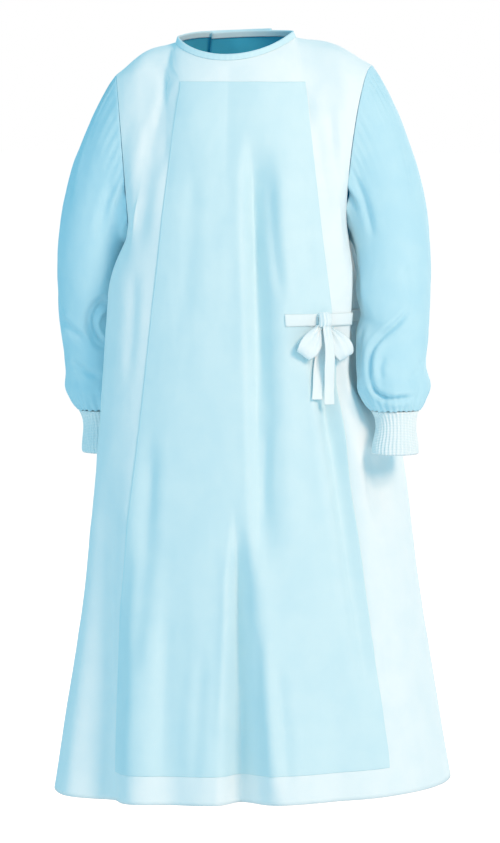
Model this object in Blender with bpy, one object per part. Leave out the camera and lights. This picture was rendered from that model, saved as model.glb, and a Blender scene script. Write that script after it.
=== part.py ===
"""Surgical gown in its worn shape: open, hollow and with nobody in it.

Metres, +Z up. The front faces -Y and the wearer's left arm is at +X.
The origin is the middle of the neck opening, where the wearer's shoulders carry the gown.
Each piece that a maker cuts is one closed wall of cloth, parted from the next by the seam gap.
"""

import math
from collections import namedtuple

import bpy
import numpy as np

# Cloth walls and gaps
BODY_WALL = 0.0015
TRIM_WALL = 0.0010
CUFF_WALL = 0.0022
BINDING_WALL = 0.0030
SEAM_GAP = 0.0003

# A sleeve that hangs against the body pushes its cloth away, down to a little below the cuff
ARM_CLEARANCE = 0.011
PUSH_SOFTNESS = 7
PUSH_BELOW_CUFF = 0.12
PUSH_FADE = 0.09

# Heights on the front centre line
HEM_Z = -1.119
PATCH_LOW_Z = -1.077
BELT_LOW_Z = -0.4215
BELT_HIGH_Z = -0.4030
ARMPIT_Z = -0.300
PATCH_HIGH_Z = -0.066
SLEEVE_ROUND_Z = -0.335

# The hem rises a little towards the wearer's left
HEM_SLANT = 0.0125
HEM_LEVEL_Z = -0.60

# Neck opening and shoulders, which tilt up a little towards the wearer's left
NECK_X = -0.010
NECK_Y = -0.006
NECK_HALF_WIDTH = 0.089
NECK_FRONT_DEPTH = 0.066
NECK_BACK_DEPTH = 0.056
NECK_FRONT_DROP = 0.030
NECK_BACK_RISE = 0.004
NECK_SIDE_Z = -0.004
SHOULDER_X = 0.192
SHOULDER_Y = 0.006
SHOULDER_Z = -0.050
SHOULDER_ARCH = 0.011
SHOULDER_TILT = 0.040
BINDING_HEIGHT = 0.010
BINDING_SHOULDER = 0.8
BINDING_LEAN = 0.55

# How the cloth runs into its upper edge, as across, forwards and up on the wearer's left of the front
NECK_FRONT_RUN = (0.00, 0.30, 0.90)
NECK_SIDE_RUN = (-0.50, 0.85, 0.90)
SHOULDER_NECK_RUN = (-0.35, 0.90, 0.45)
SHOULDER_TIP_RUN = (0.16, 1.00, 0.02)
ARMHOLE_RUN = (-0.10, -0.90, 0.30)
NECK_FULLNESS = 0.62
TIP_FULLNESS = 0.87
ARMPIT_FULLNESS = 0.95
CAP_RUN = (0.55, 0.0, -0.83)

# A direction that no seam lies across, by which neighbours split their rims alike
RIM_SPLIT = (0.37, 0.11, 1.0)

# Outline power of the body rings: 1 is an ellipse, less is squarer
RING_POWER = 0.90

# Back overlap, in column units where 1 is a neck column and 2 a side seam
OUTER_EDGE_LOW = 1.22
OUTER_EDGE_HIGH = 0.36
INNER_EDGE = 0.32
OVERLAP_LIFT = 0.0048
BACK_NECK_COLUMN = math.radians(138)

BodySection = namedtuple("BodySection", "z half_width front_depth back_depth centre_x")
BODY_SECTIONS = (
    BodySection(-1.160, 0.3075, 0.198, 0.188, 0.0165),
    BodySection(-1.000, 0.2810, 0.181, 0.172, 0.0150),
    BodySection(-0.840, 0.2550, 0.166, 0.158, 0.0140),
    BodySection(-0.700, 0.2385, 0.154, 0.147, 0.0120),
    BodySection(-0.560, 0.2220, 0.144, 0.136, 0.0080),
    BodySection(-0.430, 0.2050, 0.135, 0.126, -0.0010),
    BodySection(-0.300, 0.1930, 0.126, 0.120, -0.0060),
)

# Left and right edges of the reinforced front, which is a trapezoid
PatchSection = namedtuple("PatchSection", "z left right")
PATCH_SECTIONS = (
    PatchSection(PATCH_LOW_Z, -0.196, 0.2345),
    PatchSection(PATCH_HIGH_Z, -0.084, 0.0990),
)

# The last two rows of an arm are the top and the end of its cuff
ArmSection = namedtuple("ArmSection", "z centre_x centre_y half_width half_depth")
# The wearer's left arm comes a little forward, so its sleeve lies before the body
LEFT_ARM = (
    ArmSection(-0.300, 0.2240, -0.008, 0.0550, 0.0640),
    ArmSection(-0.335, 0.2270, -0.016, 0.0550, 0.0620),
    ArmSection(-0.400, 0.2275, -0.036, 0.0545, 0.0580),
    ArmSection(-0.456, 0.2280, -0.056, 0.0530, 0.0550),
    ArmSection(-0.495, 0.2295, -0.072, 0.0515, 0.0530),
    ArmSection(-0.522, 0.2320, -0.082, 0.0480, 0.0490),
    ArmSection(-0.537, 0.2340, -0.087, 0.0420, 0.0420),
    ArmSection(-0.5445, 0.2355, -0.089, 0.0360, 0.0360),
    ArmSection(-0.607, 0.2375, -0.104, 0.0340, 0.0340),
)
# The wearer's right arm hangs a little back, so the body lies before its sleeve
RIGHT_ARM = (
    ArmSection(-0.300, -0.2270, 0.014, 0.0530, 0.0640),
    ArmSection(-0.335, -0.2305, 0.022, 0.0530, 0.0620),
    ArmSection(-0.400, -0.2325, 0.038, 0.0520, 0.0580),
    ArmSection(-0.456, -0.2320, 0.050, 0.0510, 0.0550),
    ArmSection(-0.516, -0.2270, 0.058, 0.0490, 0.0520),
    ArmSection(-0.543, -0.2250, 0.060, 0.0460, 0.0480),
    ArmSection(-0.557, -0.2245, 0.060, 0.0410, 0.0420),
    ArmSection(-0.5645, -0.2240, 0.060, 0.0355, 0.0355),
    ArmSection(-0.629, -0.2200, 0.058, 0.0335, 0.0335),
)

# Creases round a sleeve
DRAG_Z = -0.235
DRAG_WIDTH = 0.060
DRAG_DEPTH = 0.0040
ELBOW_Z = -0.440
ELBOW_SLANT = 0.034
ELBOW_WIDTH = 0.019
ELBOW_DEPTH = 0.0065
BLOUSE_ABOVE_CUFF = 0.034
BLOUSE_WIDTH = 0.017
BLOUSE_DEPTH = 0.0035
BLOUSE_WAVE = 0.6

# A fold runs down a panel from its high end to its low end; depth is into the gown
Fold = namedtuple("Fold", "high_x high_z low_x low_z high_width low_width high_depth low_depth fade")
FRONT_FOLDS = (
    Fold(0.050, -0.140, 0.067, -0.790, 0.017, 0.015, 0.015, 0.004, 0.14),
    Fold(0.004, -0.700, 0.061, -1.300, 0.008, 0.044, 0.002, 0.042, 0.12),
    Fold(-0.160, -0.500, -0.176, -1.300, 0.020, 0.030, 0.006, 0.024, 0.16),
    Fold(0.142, -0.490, 0.238, -0.990, 0.020, 0.016, 0.014, 0.003, 0.09),
    Fold(0.140, -0.105, 0.172, -0.290, 0.012, 0.016, 0.006, 0.012, 0.05),
    Fold(-0.118, -0.090, -0.150, -0.330, 0.014, 0.018, 0.005, 0.009, 0.07),
    Fold(-0.080, -0.760, -0.088, -1.300, 0.020, 0.034, 0.002, 0.013, 0.14),
    Fold(0.150, -0.860, 0.178, -1.300, 0.020, 0.034, 0.001, 0.014, 0.14),
)
BACK_FOLDS = (
    Fold(-0.120, -0.480, -0.165, -1.300, 0.018, 0.038, 0.003, 0.026, 0.16),
    Fold(-0.030, -0.620, -0.045, -1.300, 0.016, 0.036, 0.002, 0.022, 0.16),
    Fold(0.075, -0.520, 0.110, -1.300, 0.018, 0.036, 0.003, 0.024, 0.16),
    Fold(0.170, -0.560, 0.225, -1.300, 0.018, 0.030, 0.003, 0.018, 0.16),
)

# Columns across each panel and rows up it
SHOULDER_COLUMNS = 7
FRONT_MIDDLE_COLUMNS = 20
OUTER_MIDDLE_COLUMNS = 13
INNER_MIDDLE_COLUMNS = 8
SKIRT_LEVELS = (-1.010, -0.935, -0.862, -0.794, -0.730, -0.674, -0.624, -0.580, -0.540, -0.500, -0.460)
WAIST_LEVELS = (-0.372, -0.338)
CHEST_ROWS = 7
YOKE_ROWS = 3
CENTRE_CROWDING = 0.72
CAP_RINGS = 6
SLEEVE_SHARES = (0.16, 0.32, 0.44, 0.55, 0.67, 0.79, 0.88, 0.95, 1.0)
CUFF_RIBS = 36
RIB_HEIGHT = 0.0006
CUFF_SWELL = 0.0006

# The belt comes round the wearer's left side and is tied to a short tie on the front
BOW_X = 0.132
TIE_START_X = 0.0786
KNOT_HALF_WIDTH = 0.0090
BOW_REACH = (-0.012, 0.012)
BELT_LIFT = SEAM_GAP + TRIM_WALL + SEAM_GAP
BELT_FLAP_COLUMNS = 3

# A loop leaves the knot downwards, turns back at its far end and returns behind
LoopSection = namedtuple("LoopSection", "along out half_width")
LOOP_SECTIONS = (
    LoopSection(0.0165, 0.0090, 0.0055),
    LoopSection(0.0270, 0.0150, 0.0112),
    LoopSection(0.0390, 0.0190, 0.0152),
    LoopSection(0.0510, 0.0200, 0.0158),
    LoopSection(0.0600, 0.0172, 0.0132),
    LoopSection(0.0635, 0.0118, 0.0112),
    LoopSection(0.0600, 0.0068, 0.0122),
    LoopSection(0.0490, 0.0050, 0.0140),
    LoopSection(0.0320, 0.0048, 0.0106),
    LoopSection(0.0165, 0.0048, 0.0052),
)
LOOP_TURNS = (math.radians(-36), math.radians(28))

TailSection = namedtuple("TailSection", "down across out half_width")
FRONT_TAIL = (
    TailSection(0.0130, 0.000, 0.0150, 0.0060),
    TailSection(0.0240, 0.000, 0.0192, 0.0068),
    TailSection(0.0400, 0.001, 0.0218, 0.0072),
    TailSection(0.0560, 0.001, 0.0214, 0.0074),
    TailSection(0.0740, 0.001, 0.0166, 0.0074),
    TailSection(0.0920, 0.002, 0.0112, 0.0074),
    TailSection(0.1080, 0.002, 0.0086, 0.0076),
    TailSection(0.1240, 0.002, 0.0074, 0.0078),
)
BACK_TAIL = (
    TailSection(0.0130, -0.001, 0.0030, 0.0055),
    TailSection(0.0400, -0.005, 0.0030, 0.0076),
    TailSection(0.0700, -0.010, 0.0032, 0.0084),
    TailSection(0.1000, -0.013, 0.0038, 0.0086),
    TailSection(0.1160, -0.015, 0.0045, 0.0086),
)

KnotSection = namedtuple("KnotSection", "across half_height low high")
KNOT_SIDES = 10
KNOT_SECTIONS = (
    KnotSection(-1.0, 0.0088, 0.0022, 0.0110),
    KnotSection(-0.6, 0.0112, 0.0021, 0.0165),
    KnotSection(0.0, 0.0120, 0.0020, 0.0186),
    KnotSection(0.6, 0.0112, 0.0021, 0.0165),
    KnotSection(1.0, 0.0088, 0.0022, 0.0110),
)


def smooth(value):
    """Eases from 0 to 1 as the value does."""
    value = min(1.0, max(0.0, value))
    return value * value * (3 - 2 * value)


def unit(vector):
    return vector / max(np.linalg.norm(vector), 1e-12)


def soft_power(value):
    return math.copysign(abs(value) ** RING_POWER, value)


def hermite(start, start_slope, end, end_slope, t):
    return (
        start * (1 - t) ** 2 * (1 + 2 * t)
        + start_slope * t * (1 - t) ** 2
        + end * t * t * (3 - 2 * t)
        - end_slope * t * t * (1 - t)
    )


def read_table(rows, z):
    """One row of a table at any height, on a smooth curve through the rows given."""
    rows = sorted(rows)
    heights = [row.z for row in rows]
    z_in = min(max(z, heights[0]), heights[-1])
    i = min(int(np.searchsorted(heights, z_in, side="right")) - 1, len(rows) - 2)
    span = heights[i + 1] - heights[i]
    t = (z_in - heights[i]) / span
    table = np.array(rows, float)
    slopes = np.gradient(table, heights, axis=0)
    here, there = table[i], table[i + 1]
    found = hermite(here, slopes[i] * span, there, slopes[i + 1] * span, t)
    return type(rows[0])(*found)._replace(z=z)


def pushed_by_arm(point, arm):
    """Moves body cloth out of the way of the sleeve that hangs against it."""
    section = read_table(arm, point[2])
    away = np.array((point[0] - section.centre_x, point[1] - section.centre_y, 0.0))
    half_width = section.half_width + ARM_CLEARANCE
    half_depth = section.half_depth + ARM_CLEARANCE
    nearness = max(0.05, math.hypot(away[0] / half_width, away[1] / half_depth))
    cleared = (1 + nearness**PUSH_SOFTNESS) ** (1 / PUSH_SOFTNESS)
    strength = smooth((point[2] - arm[-1].z + PUSH_BELOW_CUFF) / PUSH_FADE)
    growth = 1 + (cleared / nearness - 1) * strength
    return np.array((section.centre_x, section.centre_y, point[2])) + away * growth


def ring_point(angle, level):
    """Body cloth at a height, before its folds. The angle grows from the front centre towards +X."""
    hang = smooth((HEM_LEVEL_Z - level) / (HEM_LEVEL_Z - HEM_Z))
    z = level + hang * HEM_SLANT * math.sin(angle)
    section = read_table(BODY_SECTIONS, z)
    facing = math.cos(angle)
    depth = section.front_depth if facing > 0 else section.back_depth
    x = section.centre_x + section.half_width * soft_power(math.sin(angle))
    point = np.array((x, -depth * soft_power(facing), z))
    for arm in (LEFT_ARM, RIGHT_ARM):
        point = pushed_by_arm(point, arm)
    return point


def patch_edge(side, z):
    """Where the reinforced front ends to one side at a height."""
    heights = [row.z for row in PATCH_SECTIONS]
    edges = [row.right if side > 0 else row.left for row in PATCH_SECTIONS]
    return float(np.interp(z, heights, edges))


def column_angle(face, column, z):
    """The ring angle of a column: 0 is a panel's middle, 1 its neck column and 2 its side seam."""
    if face == "front":
        section = read_table(BODY_SECTIONS, z)
        reach = abs(patch_edge(math.copysign(1, column), z) - section.centre_x)
        neck = math.asin((reach / section.half_width) ** (1 / RING_POWER))
        size = abs(column)
        angle = size * neck if size < 1 else neck + (size - 1) * (math.pi / 2 - neck)
        return math.copysign(angle, column)
    size = abs(column)
    reach = math.pi - BACK_NECK_COLUMN
    angle = size * reach if size < 1 else reach + (size - 1) * (math.pi / 2 - reach)
    return math.pi - math.copysign(angle, column)


def top_point(face, column):
    """The panel's upper edge: neckline in the middle, shoulder seam outside it."""
    size = min(abs(column), 2.0)
    side = math.copysign(1.0, column)
    if size <= 1:
        turn = column * math.pi / 2
        x = NECK_X + NECK_HALF_WIDTH * math.sin(turn)
        if face == "front":
            y = NECK_Y - NECK_FRONT_DEPTH * math.cos(turn)
            z = NECK_SIDE_Z - NECK_FRONT_DROP * math.cos(turn) ** 1.6
        else:
            y = NECK_Y + NECK_BACK_DEPTH * math.cos(turn)
            z = NECK_SIDE_Z + NECK_BACK_RISE * math.cos(turn)
        return np.array((x, y, z + SHOULDER_TILT * x))
    out = size - 1
    neck = np.array((NECK_X + side * NECK_HALF_WIDTH, NECK_Y, NECK_SIDE_Z))
    tip = np.array((side * SHOULDER_X, SHOULDER_Y, SHOULDER_Z))
    point = neck + (tip - neck) * out
    point[2] += SHOULDER_ARCH * math.sin(out * math.pi) ** 1.5 + SHOULDER_TILT * point[0]
    return point


def turned(run, face, side):
    """A direction written for the wearer's left of the front, turned for its side and face."""
    return np.array(run) * (side, 1.0 if face == "front" else -1.0, 1.0)


def top_slope(face, column):
    """The way the cloth runs as it reaches the upper edge."""
    size = min(abs(column), 2.0)
    if size <= 1:
        share = math.sin(size * math.pi / 2)
        first, last = NECK_FRONT_RUN, NECK_SIDE_RUN
    else:
        share = smooth(size - 1)
        first, last = SHOULDER_NECK_RUN, SHOULDER_TIP_RUN
    first, last = (turned(run, face, math.copysign(1.0, column)) for run in (first, last))
    return unit(first + (last - first) * share)


def upper_curve(face, column):
    """Returns a function that follows one column from the armpit row, at 0, to the upper edge, at 1."""
    angle = column_angle(face, column, ARMPIT_Z)
    start = ring_point(angle, ARMPIT_Z)
    step = 0.01
    lower = ring_point(column_angle(face, column, ARMPIT_Z - step), ARMPIT_Z - step)
    end = top_point(face, column)
    chord = np.linalg.norm(end - start)
    outside = smooth(abs(column) - 1.0)
    near_armhole = outside**2
    round_armhole = unit(turned(ARMHOLE_RUN, face, math.copysign(1.0, column)))
    start_run = unit(unit(start - lower) * (1 - near_armhole) + round_armhole * near_armhole)
    end_run = top_slope(face, column) * (NECK_FULLNESS + (TIP_FULLNESS - NECK_FULLNESS) * outside)

    def follow(t):
        return hermite(start, start_run * chord * ARMPIT_FULLNESS, end, end_run * chord, t)

    return follow


def share_at_height(follow, z):
    """Where a rising column passes a height."""
    low, high = 0.0, 1.0
    for _ in range(40):
        middle = (low + high) / 2
        low, high = (middle, high) if follow(middle)[2] < z else (low, middle)
    return (low + high) / 2


def point_at(face, column, z):
    """A point of a column above the armpit, by its height."""
    follow = upper_curve(face, column)
    return follow(share_at_height(follow, z))


def patch_column(side, z):
    """The column whose point at a height above the armpit lies on the patch's edge."""
    low, high = 0.3, 1.7
    edge = abs(patch_edge(side, z))
    for _ in range(24):
        middle = (low + high) / 2
        low, high = (middle, high) if abs(point_at("front", side * middle, z)[0]) < edge else (low, middle)
    return (low + high) / 2


def shifted(column, shares):
    """Moves the neck column to the share given for its side, and the others with it."""
    share = shares[0] if column < 0 else shares[1]
    size = abs(column)
    moved = size * share if size < 1 else share + (size - 1) * (2 - share)
    return math.copysign(moved, column)


BODY_LEVELS = (HEM_Z, PATCH_LOW_Z, *SKIRT_LEVELS, BELT_LOW_Z, BELT_HIGH_Z, *WAIST_LEVELS, ARMPIT_Z)
CHEST_LEVELS = np.linspace(ARMPIT_Z, PATCH_HIGH_Z, CHEST_ROWS + 1)[1:]
ARMPIT_ROW = len(BODY_LEVELS) - 1
PATCH_HIGH_ROW = ARMPIT_ROW + CHEST_ROWS
BELT_ROW = BODY_LEVELS.index(BELT_LOW_Z)


def height_share(level):
    return (level - HEM_Z) / -HEM_Z


def panel_grid(face, columns_at):
    """Rows of points from hem to upper edge, with the columns that columns_at gives at each height."""
    rows = []
    shares = (1.0, 1.0)
    for level in BODY_LEVELS:
        columns = columns_at(height_share(level))
        rows.append([ring_point(column_angle(face, column, level), level) for column in columns])
    for level in CHEST_LEVELS:
        if face == "front":
            shares = (patch_column(-1, level), patch_column(1, level))
        columns = [shifted(c, shares) for c in columns_at(height_share(level))]
        rows.append([point_at(face, c, level) for c in columns])
    for i in range(1, YOKE_ROWS + 1):
        up = i / YOKE_ROWS
        easing = [share + (1 - share) * up for share in shares]
        columns = [shifted(c, easing) for c in columns_at(height_share(PATCH_HIGH_Z * (1 - up)))]
        rows.append([])
        for column in columns:
            follow = upper_curve(face, column)
            t = share_at_height(follow, PATCH_HIGH_Z)
            rows[-1].append(follow(t + (1 - t) * up))
    return np.array(rows)


def front_columns(_share):
    outer = np.linspace(2, 1, SHOULDER_COLUMNS + 1)[:-1]
    even = np.linspace(-1, 1, FRONT_MIDDLE_COLUMNS + 1)
    middle = CENTRE_CROWDING * even + (1 - CENTRE_CROWDING) * even**3
    return [*-outer, *middle, *outer[::-1]]


def outer_back_columns(share):
    """From the right side seam, round the back, to the flap's free edge."""
    side = np.linspace(-2, -1, SHOULDER_COLUMNS + 1)[:-1]
    edge = OUTER_EDGE_LOW + (OUTER_EDGE_HIGH - OUTER_EDGE_LOW) * smooth((share - 0.45) / 0.55)
    return [*side, *np.linspace(-1, edge, OUTER_MIDDLE_COLUMNS + 1)]


def inner_back_columns(_share):
    """From the left side seam to the edge that lies under the flap."""
    side = np.linspace(2, 1, SHOULDER_COLUMNS + 1)[:-1]
    return [*side, *np.linspace(1, -INNER_EDGE, INNER_MIDDLE_COLUMNS + 1)]


def grid_normals(grid, closed=False, flip=False):
    """Outward normals of a grid whose columns go round and whose rows go up."""
    if closed:
        wide = np.concatenate([grid[:, -1:], grid, grid[:, :1]], axis=1)
        across = (wide[:, 2:] - wide[:, :-2]) / 2
    else:
        across = np.gradient(grid, axis=1)
    up = np.gradient(grid, axis=0)
    normals = np.cross(across, up)
    normals = -normals if flip else normals
    return normals / np.maximum(np.linalg.norm(normals, axis=2, keepdims=True), 1e-12)


def share_normals(pieces):
    """Gives points where pieces meet one common normal, so that their edges stay parallel."""
    totals = {}
    for grid, normals in pieces:
        for point, normal in zip(grid.reshape(-1, 3), normals.reshape(-1, 3)):
            key = tuple(np.round(point, 6))
            totals[key] = totals.get(key, 0) + normal
    for grid, normals in pieces:
        flat = normals.reshape(-1, 3)
        for i, point in enumerate(grid.reshape(-1, 3)):
            flat[i] = unit(totals[tuple(np.round(point, 6))])


def fold_depth(folds, x, z):
    """How far the folds of a panel take the cloth in, or out on their shoulders."""
    total = 0.0
    for fold in folds:
        share = (z - fold.high_z) / (fold.low_z - fold.high_z)
        inside = smooth((fold.high_z - z) / fold.fade) * smooth((z - fold.low_z) / fold.fade)
        if inside <= 0:
            continue
        centre = fold.high_x + (fold.low_x - fold.high_x) * share
        width = fold.high_width + (fold.low_width - fold.high_width) * share
        depth = fold.high_depth + (fold.low_depth - fold.high_depth) * share
        off = (x - centre) / width
        total += inside * depth * (1 - 0.62 * off * off) * math.exp(-off * off / 2)
    return total


def folded(grid, normals, folds, columns, lifts=None):
    """Moves a grid's points by its folds, which fade at the side seams, and by the overlap's lift."""
    made = grid.copy()
    for index in np.ndindex(grid.shape[:2]):
        point = grid[index]
        move = -fold_depth(folds, point[0], point[2])
        move *= smooth((abs(normals[index][1]) - 0.25) / 0.35)
        move *= smooth((2 - abs(columns[index])) / 0.4)
        if lifts is not None:
            move += lifts[index]
        made[index] = point + normals[index] * move
    return made


def build_body():
    """The front and the two backs as grids of outer points."""
    grids = []
    columns = []
    sides = (("front", front_columns), ("back", outer_back_columns), ("back", inner_back_columns))
    for face, columns_at in sides:
        grids.append(panel_grid(face, columns_at))
        columns.append([columns_at(height_share(np.mean(row[:, 2]))) for row in grids[-1]])
    front, outer, inner = grids
    lifts = np.zeros(outer.shape[:2])
    for index in np.ndindex(lifts.shape):
        lifts[index] = OVERLAP_LIFT * smooth((columns[1][index[0]][index[1]] + 1) / (0.92 - INNER_EDGE))
    normals = [grid_normals(front), grid_normals(outer, flip=True), grid_normals(inner)]
    share_normals(list(zip(grids, normals)))
    columns = [np.array(rows) for rows in columns]
    return [
        folded(front, normals[0], FRONT_FOLDS, columns[0]),
        folded(outer, normals[1], BACK_FOLDS, columns[1], lifts),
        folded(inner, normals[2], BACK_FOLDS, columns[2]),
    ]


def armhole_loop(front_edge, back_edge):
    """From the shoulder tip down the front edge to the armpit and up the back edge."""
    down = front_edge[ARMPIT_ROW:][::-1]
    up = back_edge[ARMPIT_ROW + 1 : -1]
    return np.array([*down, *up])


def sleeve_wave(arm, turn, z):
    """Creases of a sleeve: drag lines under the cap, a break at the elbow and the blouse over the cuff."""

    def band(centre, width):
        return math.exp(-(((z - centre) / width) ** 2))

    drag = DRAG_DEPTH * band(DRAG_Z, DRAG_WIDTH) * math.cos(3 * turn + 0.4)
    elbow = ELBOW_DEPTH * band(ELBOW_Z - ELBOW_SLANT * math.cos(turn), ELBOW_WIDTH)
    elbow *= 0.3 + 0.7 * smooth((0.4 - math.cos(turn)) / 1.2)
    blouse = BLOUSE_DEPTH * band(arm[-2].z + BLOUSE_ABOVE_CUFF, BLOUSE_WIDTH)
    return drag - elbow + blouse * (1 + BLOUSE_WAVE * math.cos(5 * turn))


def build_sleeve(side, loop, arm):
    """Rings from the armhole, over the cap, down to the top of the cuff."""
    turns = [2 * math.pi * i / len(loop) for i in range(len(loop))]

    def round_point(turn, z):
        section = read_table(arm, z)
        out = side * math.cos(turn)
        bulge = sleeve_wave(arm, turn, z)
        x = section.centre_x + (section.half_width + bulge) * out
        y = section.centre_y - (section.half_depth + bulge) * math.sin(turn)
        return np.array((x, y, z))

    rings = [loop]
    step = 0.01
    for k in range(1, CAP_RINGS + 1):
        t = k / CAP_RINGS
        ring = []
        for start, turn in zip(loop, turns):
            end = round_point(turn, SLEEVE_ROUND_Z)
            below = round_point(turn, SLEEVE_ROUND_Z - step)
            chord = np.linalg.norm(end - start)
            leave = unit(turned(CAP_RUN, "front", side)) * chord
            ring.append(hermite(start, leave, end, unit(below - end) * chord, t))
        rings.append(np.array(ring))
    for share in SLEEVE_SHARES:
        z = SLEEVE_ROUND_Z + (arm[-2].z - SLEEVE_ROUND_Z) * share
        rings.append(np.array([round_point(turn, z) for turn in turns]))
    return np.array(rings)[::-1]


def move_edge(grid, row=None, column=None, distance=SEAM_GAP / 2):
    """Draws an edge of a grid back into its own panel, to leave the seam gap."""
    if row is not None:
        inside = 1 if row == 0 else -2
        step = grid[inside] - grid[row]
        grid[row] += step / np.linalg.norm(step, axis=1, keepdims=True) * distance
    if column is not None:
        inside = 1 if column == 0 else -2
        step = grid[:, inside] - grid[:, column]
        grid[:, column] += step / np.linalg.norm(step, axis=1, keepdims=True) * distance


def colour_of(name, colour, roughness):
    material = bpy.data.materials.new(name)
    material.use_nodes = True
    shader = material.node_tree.nodes["Principled BSDF"]
    shader.inputs["Base Color"].default_value = (*colour, 1.0)
    shader.inputs["Roughness"].default_value = roughness
    shader.inputs["Metallic"].default_value = 0.0
    return material


def add_object(name, points, faces, material):
    mesh = bpy.data.meshes.new(name)
    mesh.from_pydata([tuple(p) for p in points], [], faces)
    mesh.materials.append(material)
    mesh.shade_smooth()
    mesh.set_sharp_from_angle(angle=math.radians(50))
    made = bpy.data.objects.new(name, mesh)
    bpy.context.scene.collection.objects.link(made)
    return made


def outward(points, faces):
    """Turns every face round if the shell is inside out."""
    volume = 0.0
    for face in faces:
        for i in range(1, len(face) - 1):
            a, b, c = points[face[0]], points[face[i]], points[face[i + 1]]
            volume += np.dot(a, np.cross(b, c))
    return faces if volume > 0 else [face[::-1] for face in faces]


def add_wall(name, outer, inner, material, closed=False):
    """A closed wall of cloth between two grids of points."""
    rows, columns = outer.shape[:2]
    points = np.concatenate([outer.reshape(-1, 3), inner.reshape(-1, 3)])
    half = rows * columns

    def at(row, column, side):
        return side * half + row * columns + column % columns

    faces = []
    spans = columns if closed else columns - 1
    for row in range(rows - 1):
        for column in range(spans):
            for side in (0, 1):
                a, b = at(row, column, side), at(row, column + 1, side)
                c, d = at(row + 1, column + 1, side), at(row + 1, column, side)
                corners = ([a, b, c], [a, c, d])
                faces.extend(corner[:: 1 - 2 * side] for corner in corners)
    slant = points @ np.array(RIM_SPLIT)

    def rim(near, far):
        """Both triangles of a rim quad, split the same way as on the neighbour's rim."""
        near_out, near_in = (at(*near, side) for side in (0, 1))
        far_out, far_in = (at(*far, side) for side in (0, 1))
        if slant[near_out] < slant[far_out]:
            return [near_out, near_in, far_in], [near_out, far_in, far_out]
        return [near_out, near_in, far_out], [near_in, far_in, far_out]

    for column in range(spans):
        faces.extend(rim((0, column), (0, column + 1)))
        faces.extend(rim((rows - 1, column + 1), (rows - 1, column)))
    if not closed:
        for row in range(rows - 1):
            faces.extend(rim((row + 1, 0), (row, 0)))
            faces.extend(rim((row, columns - 1), (row + 1, columns - 1)))
    return add_object(name, points, outward(points, faces), material)


def add_cuff(name, arm, material):
    """A knitted cuff: ribs raised on the outside of a plain tube."""
    outer, inner = [], []
    low, high = arm[-1].z, arm[-2].z - SEAM_GAP
    for z, swell in ((low, 0.0), ((low + high) / 2, CUFF_SWELL), (high, 0.0)):
        section = read_table(arm, z)
        centre = np.array((section.centre_x, section.centre_y, z))
        half = np.array((section.half_width, section.half_depth, 0.0))
        outer.append([])
        inner.append([])
        for i in range(2 * CUFF_RIBS):
            turn = math.pi * i / CUFF_RIBS
            facing = np.array((math.cos(turn), math.sin(turn), 0.0))
            rib = RIB_HEIGHT if i % 2 == 0 else -RIB_HEIGHT
            outer[-1].append(centre + facing * (half + swell + rib))
            inner[-1].append(centre + facing * (half - CUFF_WALL))
    return add_wall(name, np.array(outer), np.array(inner), material, closed=True)


def add_sweep(name, sections, material):
    """A strip swept through a list of closed sections, with flat ends."""
    sections = np.array(sections)
    count, sides = sections.shape[:2]
    points = sections.reshape(-1, 3)
    faces = []
    for k in range(count - 1):
        for i in range(sides):
            j = (i + 1) % sides
            faces.append([k * sides + i, k * sides + j, (k + 1) * sides + j, (k + 1) * sides + i])
    faces.append(list(range(sides))[::-1])
    faces.append([(count - 1) * sides + i for i in range(sides)])
    return add_object(name, points, outward(points, faces), material)


def binding_sections(edge, normals):
    """Upright band on the neckline, following the cloth and leaning up."""
    sections = []
    tangents = np.gradient(edge, axis=0)
    for point, normal, tangent in zip(edge, normals, tangents):
        into = unit(np.cross(normal, unit(tangent)))
        into = -into if into[2] > 0 else into
        rise = unit(-into + np.array((0.0, 0.0, BINDING_LEAN)))
        out = unit(normal - rise * np.dot(normal, rise))
        middle = point - normal * BODY_WALL / 2 + rise * SEAM_GAP
        half = BINDING_WALL / 2
        sections.append(
            [
                middle + out * half,
                middle + out * half + rise * BINDING_HEIGHT * BINDING_SHOULDER,
                middle + rise * BINDING_HEIGHT,
                middle - out * half + rise * BINDING_HEIGHT * BINDING_SHOULDER,
                middle - out * half,
            ]
        )
    return sections


def blend(values, place):
    """A value between two neighbours in a row, at a fractional place."""
    i = min(int(place), len(values) - 2)
    return values[i] + (values[i + 1] - values[i]) * (place - i)


def column_at_x(grid, row, x):
    """The fractional column at an x, on the wearer's left half of the front."""
    middle = grid.shape[1] // 2
    return float(np.interp(x, grid[row, middle:, 0], np.arange(middle, grid.shape[1])))


def tape_sections(stations):
    """Flat tape over a cloth. A station has the cloth's points and normals, a column and the lift."""
    sections = []
    for grid, normals, column, lift in stations:
        low, high = (blend(grid[row], column) for row in (BELT_ROW, BELT_ROW + 1))
        low_out, high_out = (blend(normals[row], column) for row in (BELT_ROW, BELT_ROW + 1))
        far = lift + TRIM_WALL
        under = [low + low_out * lift, high + high_out * lift]
        sections.append([*under, high + high_out * far, low + low_out * far])
    return sections


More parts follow.
